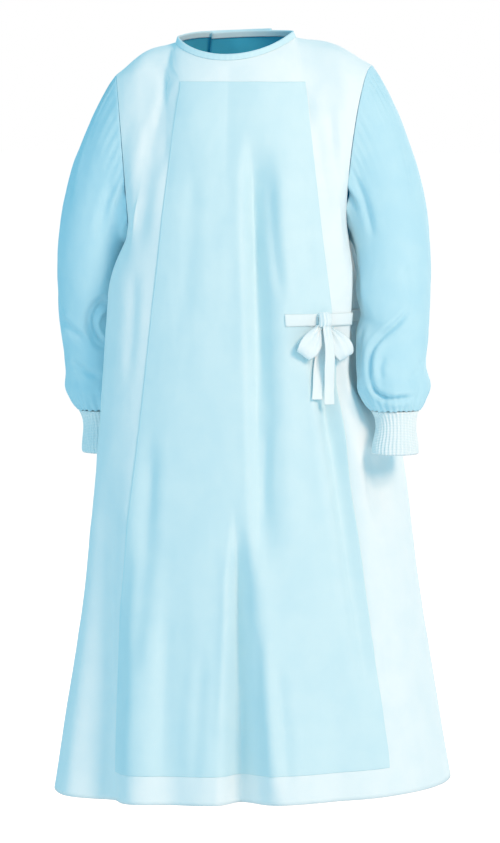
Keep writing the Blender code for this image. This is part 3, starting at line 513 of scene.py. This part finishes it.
def turnIn(grid, normals, edge, depth=0.0010, inset=0.0001):  # rolls an edge into the seam
    axis, last = {"left": (1, 0), "right": (1, -1), "low": (0, 0), "high": (0, -1)}[edge]
    made, out = np.moveaxis(grid, axis, 0), np.moveaxis(normals, axis, 0)
    inner = 1 if last == 0 else -2
    step = unit(made[inner] - made[last])
    room = np.linalg.norm(made[inner] - made[last], axis=-1, keepdims=True)
    lip = made[last] + step * inset - out[last] * depth
    near = made[last] + step * np.minimum(inset + 0.0005, room * 0.3) - out[last] * depth * 0.35
    shoulder = made[last] + step * np.minimum(0.0016, room * 0.6)
    added = [lip, near, shoulder]
    if last == 0:
        made = np.concatenate([np.array(added), made[1:]])
        out = np.concatenate([out[:1], out[:1], out])
    else:
        made = np.concatenate([made[:-1], np.array(added[::-1])])
        out = np.concatenate([out, out[-1:], out[-1:]])
    return np.moveaxis(made, 0, axis), np.moveaxis(out, 0, axis)


# cloth finishes
def addNode(tree, kind, values=()):
    node = tree.nodes.new("ShaderNode" + kind)
    for name, value in dict(values).items():
        node.inputs[name].default_value = value
    return node


def join(tree, source, sent, target, taken):
    tree.links.new(source.outputs[sent], target.inputs[taken])


def fibreGroup():  # laid fibres of a nonwoven sheet: a height for the bump and a mask for the tint
    tree = bpy.data.node_groups.new("laidFibres", "ShaderNodeTree")
    sides = tree.interface
    sides.new_socket(name="Place", in_out="INPUT", socket_type="NodeSocketVector")
    for name, value in (("Fibre Scale", 900.0), ("Cloud Scale", 22.0)):
        socket = sides.new_socket(name=name, in_out="INPUT", socket_type="NodeSocketFloat")
        socket.default_value = value
    for name in ("Height", "Tint"):
        sides.new_socket(name=name, in_out="OUTPUT", socket_type="NodeSocketFloat")
    given, result = tree.nodes.new("NodeGroupInput"), tree.nodes.new("NodeGroupOutput")
    stretch = addNode(tree, "VectorMath")
    stretch.operation = "MULTIPLY"
    stretch.inputs[1].default_value = (1.0, 1.0, 0.32)  # the fibres lie mostly upright
    join(tree, given, "Place", stretch, 0)
    fibres = addNode(tree, "TexNoise", {"Detail": 3.0, "Distortion": 1.4})
    join(tree, stretch, 0, fibres, "Vector")
    join(tree, given, "Fibre Scale", fibres, "Scale")
    clouds = addNode(tree, "TexNoise", {"Detail": 4.0})
    join(tree, given, "Place", clouds, "Vector")
    join(tree, given, "Cloud Scale", clouds, "Scale")
    bonds = addNode(tree, "TexVoronoi", {"Scale": 420.0})
    join(tree, given, "Place", bonds, "Vector")
    dots = addNode(tree, "MapRange", {"From Min": 0.12, "From Max": 0.30, "To Min": 0.0, "To Max": 0.5})
    join(tree, bonds, "Distance", dots, "Value")
    height = addNode(tree, "Math")
    height.operation = "MULTIPLY_ADD"
    height.inputs[1].default_value = 0.7
    join(tree, fibres, "Fac", height, 0)
    join(tree, dots, "Result", height, 2)
    join(tree, height, 0, result, "Height")
    tint = addNode(tree, "MapRange", {"From Min": 0.35, "From Max": 0.65})
    join(tree, clouds, "Fac", tint, "Value")
    join(tree, tint, "Result", result, "Tint")
    return tree


laidFibres = fibreGroup()

finishes = {  # pale colour, deep colour, roughness, sheen
    "whiteNonwoven": ((0.90, 0.955, 0.965), (0.86, 0.935, 0.955), 0.78, 0.15),
    "blueNonwoven": ((0.56, 0.815, 0.905), (0.52, 0.79, 0.895), 0.74, 0.18),
    "paleReinforcement": ((0.70, 0.875, 0.92), (0.665, 0.855, 0.91), 0.62, 0.12),
    # the inner face's deep cyan is painted shade, standing in for the shade seen inside the neck
    "paintedShadeInside": ((0.07, 0.55, 0.78), (0.06, 0.52, 0.75), 0.80, 0.10),
    "bindingTape": ((0.72, 0.90, 0.945), (0.66, 0.87, 0.93), 0.74, 0.15),
}


def newMaterial(name, values):
    material = bpy.data.materials.new(name)
    material.use_nodes = True
    shader = material.node_tree.nodes["Principled BSDF"]
    for socket, value in values.items():
        shader.inputs[socket].default_value = value
    return material, material.node_tree, shader


def finishCloth(tree, shader, colours, mask, height, bump):  # two near colours and a light relief
    mix = addNode(tree, "Mix")
    mix.data_type = "RGBA"
    mix.inputs["A"].default_value, mix.inputs["B"].default_value = ((*colour, 1) for colour in colours)
    tree.links.new(mask, mix.inputs["Factor"])
    join(tree, mix, "Result", shader, "Base Color")
    relief = addNode(tree, "Bump", bump)
    tree.links.new(height, relief.inputs["Height"])
    join(tree, relief, "Normal", shader, "Normal")


def clothMaterial(name, pale, deep, rough, sheen):
    material, tree, shader = newMaterial(name, {
        "Roughness": rough, "Sheen Weight": sheen, "Sheen Roughness": 0.5, "Specular IOR Level": 0.3})
    place = addNode(tree, "TexCoord")
    fibres = addNode(tree, "Group")
    fibres.node_tree = laidFibres
    join(tree, place, "Object", fibres, "Place")
    finishCloth(tree, shader, (pale, deep), fibres.outputs["Tint"], fibres.outputs["Height"],
                {"Strength": 0.25, "Distance": 0.0004})
    return material


def knitMaterial():
    material, tree, shader = newMaterial("whiteKnit", {"Roughness": 0.9, "Sheen Weight": 0.3})
    place = addNode(tree, "TexCoord")
    loops = addNode(tree, "TexWave", {"Scale": 130.0, "Distortion": 1.2, "Detail": 1.0, "Detail Scale": 4.0})
    loops.bands_direction = "Y"
    join(tree, place, "UV", loops, "Vector")
    # the darker colour follows the low parts of the rib relief: painted shade in the grooves between the ribs
    finishCloth(tree, shader, ((0.80, 0.90, 0.925), (0.93, 0.965, 0.97)), loops.outputs["Fac"],
                loops.outputs["Fac"], {"Strength": 0.5, "Distance": 0.0005})
    return material


materials = {name: clothMaterial(name, *finish) for name, finish in finishes.items()}
materials["whiteKnit"] = knitMaterial()


def addCloth(node, kind, grid, finish, wall, middle=None, closed=False, sizes=None,
             inside=None):
    width, height, area = sizes or measure(grid, closed)
    flat, area = (width, height), min(area, width * height)
    if middle is None:
        middle = grid.mean(axis=(0, 1))
    piece = addGrid(f"{node}_{kind}", grid, closed, wall, flat, middle)
    piece.data.materials.append(materials[finish])
    piece.data.materials.append(materials[inside or finish])
    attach(piece, "root")
    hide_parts(node)


print("materials ready")

# body panels
panels = {
    "front": {"node": "front_panel", "face": "front", "columns": frontColumns, "flip": False, "seed": 3.1,
              "ends": ("first", "last"), "sewn": ("left", "right", "high")},
    "outer": {"node": "back_outer_panel", "face": "back", "columns": outerColumns, "flip": True, "seed": 7.7,
              "ends": ("first",), "sewn": ("left", "high")},
    "inner": {"node": "back_inner_panel", "face": "back", "columns": innerColumns, "flip": False, "seed": 7.7,
              "ends": ("first",), "sewn": ("left", "high")},
}
panelCloth = {"crush": 0.0012, "crushSize": 0.055, "wall": 0.0008}
drape = {"front": (frontFolds, frontCreases), "back": (backFolds, backCreases)}
steps = 6
grids, normalsOf = {}, {}
for name, panel in panels.items():
    columnsAt, flip = panel["columns"], panel["flip"]
    grid = easeSides(panelGrid(panel["face"], columnsAt), panel["ends"])
    table = np.array([columnsAt(heightShare(np.mean(row[:, 2]))) for row in grid])
    across = np.arange(grid.shape[1])
    outside = smooth(np.abs(table[armpitRow]) - 1)[:, None] ** 2
    fine = refine(grid, rowHeights, steps, 0, [(armpitRow, outside)])
    nearTop = smooth(np.arange(len(fine)) / (len(fine) - 1) * 3 - 2)[:, None]
    neckCorners = [(i, nearTop) for i in range(1, grid.shape[1] - 1) if abs(abs(table[-1, i]) - 1) < 1e-6]
    fine = refine(fine, across, steps, 1, neckCorners)
    fineColumns = refine(refine(table, rowHeights, steps, 0), across, steps, 1)
    base = gridNormals(fine, flip=flip)
    x, z = fine[..., 0], fine[..., 2]
    sideFade = 0.4 + 0.7 * smooth((z + 0.38) / 0.08)  # folds stop well before the armholes
    towards = -base[..., 1] if name == "front" else base[..., 1]
    facing = smooth((towards - 0.30) / 0.40) * smooth((2 - np.abs(fineColumns)) / sideFade)
    atSeam = smooth((2 - np.abs(fineColumns)) / 0.12)
    atTop = smooth((fine.shape[0] - 1 - np.arange(fine.shape[0])) / 6.0)[:, None]
    folds, creases = drape[panel["face"]]
    move = -foldDepth(folds, x, z) * facing - creaseDepth(creases, x, z) * facing
    move += crumple(fine, panelCloth["crushSize"], panelCloth["crush"], panel["seed"]) * atSeam * atTop
    if name == "outer":
        move += gown["flapLift"] * smooth((fineColumns + 1) / (0.92 - gown["innerEdge"]))
    grids[name] = fine + base * move[..., None]
    normalsOf[name] = gridNormals(grids[name], flip=flip)
print("panels shaped")

bodyMiddle = np.array((0.0, 0.0, -0.6))
middleAt = steps * gown["shoulderColumns"]
for name, panel in panels.items():
    grid, normals = grids[name], normalsOf[name]
    sizes = measure(grid)
    for edge in panel["sewn"]:
        grid, normals = turnIn(grid, normals, edge)
    addCloth(panel["node"], "cloth", grid, "whiteNonwoven", panelCloth["wall"], bodyMiddle,
             sizes=sizes, inside="paintedShadeInside")

# reinforced front
reinforcement = {"lift": 0.0007, "wall": 0.0005}
patchColumns = slice(middleAt, middleAt + steps * gown["middleColumns"] + 1)
patchRows = slice(steps, patchHighRow * steps + 1)
patch, patchNormals = (table["front"][patchRows, patchColumns] for table in (grids, normalsOf))
sizes = measure(patch)
raised = patch + patchNormals * (reinforcement["lift"] + reinforcement["wall"])
for edge in ("left", "right", "low", "high"):
    raised, patchNormals = turnIn(raised, patchNormals, edge, 0.0006, 0.0002)
addCloth("front_reinforcement", "cloth", raised, "paleReinforcement", reinforcement["wall"],
         bodyMiddle, sizes=sizes)

# sleeves
sleeves = {
    "capRings": 36, "lowerRings": 78, "wall": 0.0008, "crush": 0.0011, "crushSize": 0.045,
    "drag": (-0.235, 0.060, 0.0040), "elbow": (-0.440, 0.034, 0.019, 0.0065),
    "blouse": (0.034, 0.017, 0.0035, 0.6), "around": 0.055,
    "gathers": (0.0013, 26, 0.024), "fullness": (0.0012, 11, 0.020, 0.022), "puckers": (0.0012, 34, 7),
}
# each crease as turn z pairs, its width, its depth and its raised side;
# turn 0 faces away from the body and 90 the front
leftCreases = [
    ([(150, -0.170), (146, -0.215), (138, -0.265)], 0.006, 0.0060, 0.0020),
    ([(124, -0.200), (120, -0.250), (116, -0.300)], 0.006, 0.0046, 0.0016),
    ([(54, -0.392), (80, -0.418), (108, -0.440), (121, -0.462), (123, -0.496), (112, -0.516)],
     0.0044, 0.0056, 0.0034),
    ([(124, -0.496), (112, -0.517), (90, -0.524), (64, -0.524), (44, -0.521)], 0.0040, 0.0076, 0.0030),
    ([(140, -0.420), (150, -0.455), (156, -0.505)], 0.006, 0.0034, 0.0012),
    ([(96, -0.462), (104, -0.480), (100, -0.502)], 0.0045, 0.0022, 0.0010),
    ([(20, -0.470), (40, -0.490), (60, -0.505)], 0.006, 0.0026, 0.0010),
    ([(-30, -0.425), (-50, -0.452), (-70, -0.470)], 0.006, 0.0040, 0.0014),
    ([(-80, -0.450), (-110, -0.470), (-140, -0.480)], 0.006, 0.0038, 0.0014),
    ([(168, -0.330), (158, -0.365), (150, -0.400)], 0.007, 0.0030, 0.0010),
    ([(-100, -0.180), (-108, -0.240), (-120, -0.290)], 0.008, 0.0032, 0.0012),
    ([(24, -0.150), (32, -0.205), (40, -0.260)], 0.009, 0.0020, 0.0008),
    ([(70, -0.330), (62, -0.365), (52, -0.392)], 0.008, 0.0020, 0.0010),
]
rightCreases = [
    ([(150, -0.180), (142, -0.225), (134, -0.270)], 0.006, 0.0038, 0.0014),
    ([(120, -0.210), (114, -0.260), (110, -0.310)], 0.007, 0.0030, 0.0012),
    ([(138, -0.396), (112, -0.404), (99, -0.428), (108, -0.452), (132, -0.462)], 0.0042, 0.0092, -0.0062),
    ([(30, -0.420), (60, -0.440), (92, -0.462)], 0.006, 0.0040, 0.0018),
    ([(48, -0.486), (76, -0.500), (106, -0.512)], 0.005, 0.0036, 0.0016),
    ([(-30, -0.425), (-54, -0.450), (-80, -0.470)], 0.006, 0.0040, 0.0014),
    ([(-90, -0.470), (-120, -0.464), (-150, -0.455)], 0.006, 0.0038, 0.0014),
    ([(-100, -0.180), (-108, -0.240), (-120, -0.290)], 0.008, 0.0032, 0.0012),
    ([(30, -0.160), (36, -0.215), (45, -0.270)], 0.009, 0.0020, 0.0008),
    ([(20, -0.380), (28, -0.412), (40, -0.440)], 0.007, 0.0024, 0.0010),
]


def armRing(arm, turns, z, swell, across=1, back=1):
    x, y, halfWidth, halfDepth = readTable(arm, z)
    return np.stack([x + (halfWidth + swell) * across * np.cos(turns),
                     y + (halfDepth + swell) * back * np.sin(turns), np.full(len(turns), z)], axis=1)


def sleeveWave(arm, turn, z):
    dragZ, dragWidth, dragDepth = sleeves["drag"]
    elbowZ, slant, elbowWidth, elbowDepth = sleeves["elbow"]
    above, blouseWidth, blouseDepth, wave = sleeves["blouse"]
    drag = dragDepth * bell(z, dragZ, dragWidth) * np.cos(3 * turn + 0.4)
    elbow = elbowDepth * bell(z, elbowZ - slant * np.cos(turn), elbowWidth)
    elbow = elbow * (0.3 + 0.7 * smooth((0.4 - np.cos(turn)) / 1.2))
    blouse = blouseDepth * bell(z, arm[-2][0] + above, blouseWidth) * (1 + wave * np.cos(5 * turn))
    return drag - elbow + blouse


def buildSleeve(side, loop, arm):
    turns = 2 * math.pi * np.arange(len(loop)) / len(loop)

    def roundRing(z):
        return armRing(arm, turns, z, sleeveWave(arm, turns, z), side, -1)

    end, below = roundRing(gown["sleeveRoundZ"]), roundRing(gown["sleeveRoundZ"] - 0.01)
    chord = np.linalg.norm(end - loop, axis=1, keepdims=True)
    leave, arrive = unit(turned(runs["cap"], "front", side)) * chord, unit(below - end) * chord
    capShares = np.linspace(0, 1, sleeves["capRings"] + 1)
    rings = [hermite(loop, leave, end, arrive, share) for share in capShares]
    lower = np.linspace(gown["sleeveRoundZ"], arm[-2][0], sleeves["lowerRings"] + 1)[1:]
    rings += [roundRing(z) for z in lower]
    return np.array(rings)[::-1], turns


def shapeSleeve(grid, turns, arm, creases, side, seed):
    normals = gridNormals(grid, closed=True, flip=side > 0)
    z = grid[..., 2]
    turn = np.broadcast_to(turns, z.shape)
    around = sleeves["around"]
    move = np.zeros_like(z)
    for line, width, depth, raised in creases:
        middle = math.radians(line[len(line) // 2][0])
        wrapped = (turn - middle + math.pi) % (2 * math.pi) - math.pi
        laid = [((math.radians(place) - middle) * around, at) for place, at in line]
        move -= creaseDepth([(laid, width, depth, raised)], wrapped * around, z)
    up = z - arm[-2][0]  # small gathers run up from the cuff seam
    depth, number, reach = sleeves["gathers"]
    move += depth * np.cos(number * turn + 1.3 * np.sin(3 * turn + seed)) * bell(up, 0, reach)
    depth, number, above, reach = sleeves["fullness"]
    move += depth * np.cos(number * turn + seed) * bell(up, above, reach)
    below = len(grid) - 1 - np.arange(len(grid))[:, None]
    depth, number, reach = sleeves["puckers"]  # they ease the cap into the armhole
    puckers = np.cos(number * turn + 2 * np.sin(2 * turn + seed)) * bell(below, 0, reach)
    move += depth * puckers * smooth(below / 2)
    move += crumple(grid, sleeves["crushSize"], sleeves["crush"], seed) * smooth(below / 14)
    made = grid + normals * move[..., None]
    return made, gridNormals(made, closed=True, flip=side > 0)


sewnSleeves = {  # its side, the front's column, the back panel, the arm, its creases, a seed
    "sleeve_left": (1, -1, "inner", leftArm, leftCreases, 2.2),
    "sleeve_right": (-1, 0, "outer", rightArm, rightCreases, 5.4),
}
lowest = armpitRow * steps
for node, (side, column, back, arm, creases, seed) in sewnSleeves.items():
    loop = np.concatenate([grids["front"][lowest:, column][::-1], grids[back][lowest + 1 : -1, 0]])
    grid, turns = buildSleeve(side, loop, arm)
    grid, normals = shapeSleeve(grid, turns, arm, creases, side, seed)
    sizes = measure(grid, True)
    grid, normals = turnIn(grid, normals, "high")
    grid = turnIn(grid, normals, "low", 0.0004, 0.0004)[0]
    elbow = np.array((arm[3][1], arm[3][2], arm[3][0]))
    addCloth(node, "cloth", grid, "blueNonwoven", sleeves["wall"], elbow, True, sizes,
             inside="paintedShadeInside")
print("sleeves shaped")

# ribbed cuffs
cuffs = {"ribs": 36, "perRib": 8, "rows": 34, "height": 0.0006, "swell": 0.0006, "wall": 0.0016,
         "lowPinch": 0.0012, "highPinch": 0.0010}
for node, arm in (("cuff_left", leftArm), ("cuff_right", rightArm)):
    low, high = arm[-1][0], arm[-2][0] - 0.0002
    count = cuffs["ribs"] * cuffs["perRib"]
    turns = 2 * math.pi * np.arange(count) / count
    rings = []
    for k in range(cuffs["rows"] + 1):
        share = k / cuffs["rows"]
        ribs = np.cos(cuffs["ribs"] * turns + 0.25 * np.sin(share * 9))
        rib = cuffs["height"] * np.sign(ribs) * np.abs(ribs) ** 0.6
        size = cuffs["swell"] * math.sin(share * math.pi) + rib
        size -= cuffs["lowPinch"] * bell(share, 0, 0.022) + cuffs["highPinch"] * bell(share, 1, 0.02)
        rings.append(armRing(arm, turns, low + (high - low) * share, size))
    addCloth(node, "knit", np.array(rings), "whiteKnit", cuffs["wall"], closed=True)
print("cuffs knitted")

# neck binding
binding = {"height": 0.0100, "lean": 0.55, "half": 0.0014, "around": 14, "wall": 0.0006,
           "turnUp": 0.82, "out": 0.00075, "sink": 0.0006, "pucker": 0.00022, "puckerRun": 0.0085}
neckLine, neckOut = (np.concatenate([
    table["outer"][-1, middleAt:][::-1], table["front"][-1, patchColumns][1:-1],
    table["inner"][-1, middleAt:]]) for table in (grids, normalsOf))
along = np.concatenate([[0], np.cumsum(np.linalg.norm(np.diff(neckLine, axis=0), axis=1))])
for _ in range(8):
    neckOut[1:-1] = unit(neckOut[:-2] + neckOut[1:-1] * 2 + neckOut[2:])
tangents = unit(np.gradient(neckLine, axis=0))
into = unit(np.cross(neckOut, tangents))
into = np.where(into[:, 2:] > 0, -into, into)
rise = unit(-into + np.array((0.0, 0.0, binding["lean"])))
out = unit(neckOut - rise * (neckOut * rise).sum(axis=1, keepdims=True))
base = neckLine - neckOut * binding["out"] - rise * binding["sink"]
turnUp = binding["turnUp"]
puckers = binding["pucker"] * np.sin(along / binding["puckerRun"] * 2 * math.pi + 1.7 * np.sin(along * 31))
band = []
for k in range(binding["around"] + 1):  # up the outside, over the edge, down the inside
    share = k / binding["around"]
    if share < 0.4:
        across, up = 1.0, share / 0.4 * turnUp
    elif share > 0.6:
        across, up = -1.0, (1 - share) / 0.4 * turnUp
    else:
        turn = (share - 0.4) / 0.2 * math.pi
        across, up = math.cos(turn), turnUp + (1 - turnUp) * math.sin(turn)
    side = (across * (binding["half"] + puckers * (1 - abs(up - 0.4))))[:, None]
    band.append(base + out * side + rise * (up * binding["height"]))
addCloth("neck_binding", "tape", np.array(band), "bindingTape", binding["wall"],
         neckLine.mean(axis=0))
print("binding folded")

# belt, tie and bow
bow = {
    "x": 0.132, "tieStart": 0.0786, "knotHalf": 0.0090, "lift": 0.0016, "tape": 0.0010,
    "rolledEdge": 0.0003, "flapLift": 0.0004, "overlap": 0.002,
    "loopWall": 0.0007, "loopGather": 0.0019, "loopRipple": 0.0008, "loopSag": 0.0012,
    "tailWall": 0.0008, "tailGather": 0.0010, "tailCurl": 0.0009, "tailWave": 0.0006, "tailLift": 0.0005,
    "loopTurns": {"bow_loop_inner": -36, "bow_loop_outer": 28},
}
# along, out, half width
loopPath = [
    (0.0120, 0.0090, 0.0046), (0.0165, 0.0096, 0.0055), (0.0270, 0.0150, 0.0112),
    (0.0390, 0.0190, 0.0152), (0.0510, 0.0200, 0.0158), (0.0600, 0.0172, 0.0132),
    (0.0635, 0.0118, 0.0112), (0.0600, 0.0068, 0.0122), (0.0490, 0.0050, 0.0140),
    (0.0320, 0.0048, 0.0106), (0.0165, 0.0048, 0.0052), (0.0120, 0.0050, 0.0044),
]
# down, across, out, half width
tailPaths = {
    "bow_tail_front": [
        (0.0100, 0.000, 0.0130, 0.0052), (0.0130, 0.000, 0.0150, 0.0060), (0.0240, 0.000, 0.0192, 0.0068),
        (0.0400, 0.001, 0.0218, 0.0072), (0.0560, 0.001, 0.0214, 0.0074), (0.0740, 0.001, 0.0166, 0.0074),
        (0.0920, 0.002, 0.0112, 0.0074), (0.1080, 0.002, 0.0086, 0.0076), (0.1240, 0.002, 0.0074, 0.0078),
    ],
    "bow_tail_back": [
        (0.0110, -0.001, 0.0030, 0.0052), (0.0400, -0.005, 0.0030, 0.0076), (0.0700, -0.010, 0.0032, 0.0084),
        (0.1000, -0.013, 0.0038, 0.0086), (0.1160, -0.015, 0.0045, 0.0086),
    ],
}


def blendRow(values, place):
    i = min(int(place), len(values) - 2)
    return values[i] + (values[i + 1] - values[i]) * (place - i)


lowRow, highRow = beltRow * steps, (beltRow + 1) * steps
front = grids["front"]


def columnAtX(x):
    start = front.shape[1] // 2
    return float(np.interp(x, front[lowRow, start:, 0], np.arange(start, front.shape[1])))


def tapeStation(name, column, lift):
    rows = np.linspace(lowRow, highRow, 7).astype(int)
    points = np.array([blendRow(grids[name][row], column) for row in rows])
    outs = unit(np.array([blendRow(normalsOf[name][row], column) for row in rows]).mean(axis=0))
    across = np.linspace(0, 1, 7)[:, None]
    straight = points[0] * (1 - across) + points[-1] * across
    return straight + outs * (lift + bow["tape"])


def tapeRun(name, first, last, count, lift):
    return [tapeStation(name, column, lift) for column in np.linspace(first, last, count)]


def addTape(node, stations):
    grid = np.array(stations)
    for _ in range(2):
        grid[1:-1] = (grid[:-2] + grid[1:-1] * 2 + grid[2:]) / 4
    edge = np.abs(np.linspace(-1, 1, grid.shape[1]))
    normals = gridNormals(grid)
    outward = normals if (normals * (grid - bodyMiddle)).sum() > 0 else -normals
    grid = grid - outward * (bow["rolledEdge"] * smooth((edge - 0.7) / 0.3))[None, :, None]
    addCloth(node, "tape", grid, "whiteNonwoven", bow["tape"] * 0.8, bodyMiddle)


anchorColumn = columnAtX(bow["x"])
low, high = blendRow(front[lowRow], anchorColumn), blendRow(front[highRow], anchorColumn)
anchor = (low + high) / 2
beside = [blendRow(front[lowRow], columnAtX(bow["x"] + step)) for step in (-0.012, 0.012)]
right = unit(beside[1] - beside[0])
outWard = unit(np.cross(right, high - low))
up = unit(np.array((0.0, 0.0, 1.0)) - outWard * outWard[2])  # the bow hangs straight down
right = np.cross(up, outWard)


def place(*offsets):  # how far across, below and out from the middle of the bow
    across, below, lift = (offset[..., None] for offset in offsets)
    return anchor + right * across - up * below + outWard * lift


tieEnd = columnAtX(bow["x"] - bow["knotHalf"] + bow["overlap"])
addTape("front_tie", tapeRun("front", columnAtX(bow["tieStart"]), tieEnd, 26, bow["lift"]))
beltStart = columnAtX(bow["x"] + bow["knotHalf"] - bow["overlap"])
innerEnd = (gown["shoulderColumns"] - 3) * steps
stations = tapeRun("front", beltStart, front.shape[1] - 1, 46, bow["lift"])
stations += tapeRun("inner", 1, innerEnd, 26, bow["lift"])
lastColumn = grids["outer"].shape[1] - 1
stations += tapeRun("outer", lastColumn, lastColumn - 2 * steps, 16, bow["flapLift"])
addTape("belt", stations)

v = np.linspace(-1, 1, 19)
alongBy, outBy, halfWidth = smoothRows(loopPath, 7).T[..., None]
near = bell(alongBy, 0.012, 0.028)
gather = bow["loopGather"] * np.cos(v * 9.5) * near + bow["loopRipple"] * np.cos(v * 6 + 1) * (1 - near)
lift = outBy + gather - bow["loopSag"] * v * v * (1 - near)
for node, turn in bow["loopTurns"].items():
    sine, cosine = math.sin(math.radians(turn)), math.cos(math.radians(turn))
    across = alongBy * sine + v * halfWidth * cosine
    grid = place(across, alongBy * cosine - v * halfWidth * sine, lift)
    addCloth(node, "tape", grid, "whiteNonwoven", bow["loopWall"])

v = np.linspace(-1, 1, 13)
for node, path in tailPaths.items():
    below, across, outBy, halfWidth = smoothRows(path, 9).T[..., None]
    share = np.linspace(0, 1, len(below))[:, None]
    curl = bow["tailGather"] * np.cos(v * 7) * bell(below, 0.010, 0.020) + bow["tailCurl"] * v * v * share
    curl += bow["tailWave"] * np.sin(below * 90 + v)
    grid = place(across + v * halfWidth, below, outBy + bow["tailLift"] + curl)
    addCloth(node, "tape", grid, "whiteNonwoven", bow["tailWall"], bodyMiddle)

# the knot is one wrap of tape, creased towards its middle
knot = {"rings": 28, "around": 48, "half": 0.0096, "tall": 0.0118, "low": 0.0022, "high": 0.0186,
        "wall": 0.0010}
away = np.linspace(-1, 1, knot["rings"] + 1)[:, None]
turn = 2 * math.pi * np.arange(knot["around"]) / knot["around"]
full = np.maximum(1 - np.abs(away) ** 3.2, 0) ** 0.45
crease = 1 - 0.055 * np.cos(6 * away + 1.2 * np.sin(turn)) ** 2 - 0.03 * np.cos(11 * away + turn)
tall = knot["tall"] * (0.62 + 0.38 * full) * crease
deep = (knot["high"] - knot["low"]) / 2 * (0.50 + 0.50 * full) * crease
grid = place(away * knot["half"], tall * np.cos(turn), knot["low"] + deep + deep * np.sin(turn))
addCloth("bow_knot", "wrap", grid, "whiteNonwoven", knot["wall"], closed=True)
print("belt and bow tied")

# studio
studio = {
    "floorZ": -1.46, "floorReach": 40.0, "floor": (0.95, 0.955, 0.96), "lift": (0.85, 0.48, 0.32),
    "world": (0.25, 0.74, 0.96), "worldPower": 0.78, "shownWorld": (1.0, 1.0, 1.0),
    "target": Vector((0.0105, 0.0, -0.574)),
}
lamps = {  # place, size, power, colour
    "keyLight": ((3.1, -3.4, 2.1), 1.6, 170.0, (1.0, 0.62, 0.42)),
    "fillLight": ((-3.2, -3.4, 0.4), 2.4, 22.0, (1.0, 0.66, 0.50)),
    "backLight": ((2.0, 4.6, 1.2), 2.6, 120.0, (1.0, 0.62, 0.42)),
}
reach = studio["floorReach"]
floorMesh = bpy.data.meshes.new("studioFloor")
corners = [(x * reach, y * reach, studio["floorZ"]) for x, y in ((-1, -1), (1, -1), (1, 1), (-1, 1))]
floorMesh.from_pydata(corners, [], [(0, 1, 2, 3)])
floor = addObject("studioFloor", floorMesh)
paper, tree, shader = newMaterial("paleFloor", {
    "Base Color": (*studio["floor"], 1), "Roughness": 0.9, "Emission Color": (*studio["lift"], 1)})
seen = addNode(tree, "LightPath")  # the paper looks white, but lends the cloth no light
join(tree, seen, "Is Camera Ray", shader, "Emission Strength")
floorMesh.materials.append(paper)

world = bpy.data.worlds.new("studioSky")
bpy.context.scene.world = world
world.use_nodes = True
tree = world.node_tree
sky = tree.nodes["Background"]
sky.inputs["Color"].default_value = (*studio["world"], 1)
sky.inputs["Strength"].default_value = studio["worldPower"]
shown = addNode(tree, "Background", {"Color": (*studio["shownWorld"], 1)})
either, seen = addNode(tree, "MixShader"), addNode(tree, "LightPath")
join(tree, seen, "Is Camera Ray", either, 0)
join(tree, sky, 0, either, 1)
join(tree, shown, 0, either, 2)
tree.links.new(either.outputs[0], tree.nodes["World Output"].inputs["Surface"])


def aimFrom(made, spot):
    made.location = spot
    made.rotation_euler = (studio["target"] - Vector(spot)).to_track_quat("-Z", "Y").to_euler()


for name, (spot, size, power, colour) in lamps.items():
    light = bpy.data.lights.new(name, "AREA")
    light.size, light.energy, light.color = size, power, colour
    aimFrom(addObject(name, light), spot)

cameraPlan = {"turn": 7.0, "rise": 6.0, "distance": 5.5, "field": 13.1, "sensor": 24.0, "reach": 200.0}
turn, riseBy = math.radians(cameraPlan["turn"]), math.radians(cameraPlan["rise"])
aside, level = math.sin(turn) * math.cos(riseBy), -math.cos(turn) * math.cos(riseBy)
lens = bpy.data.cameras.new("photoCamera")
camera = addObject("photoCamera", lens)
aimFrom(camera, studio["target"] + Vector((aside, level, math.sin(riseBy))) * cameraPlan["distance"])
lens.sensor_fit = "VERTICAL"
lens.sensor_height = lens.sensor_width = cameraPlan["sensor"]
lens.lens = cameraPlan["sensor"] / (2 * math.tan(math.radians(cameraPlan["field"]) / 2))
lens.clip_end = cameraPlan["reach"]
bpy.context.scene.camera = camera
bpy.context.scene.view_settings.view_transform = "Standard"
print("studio lit")
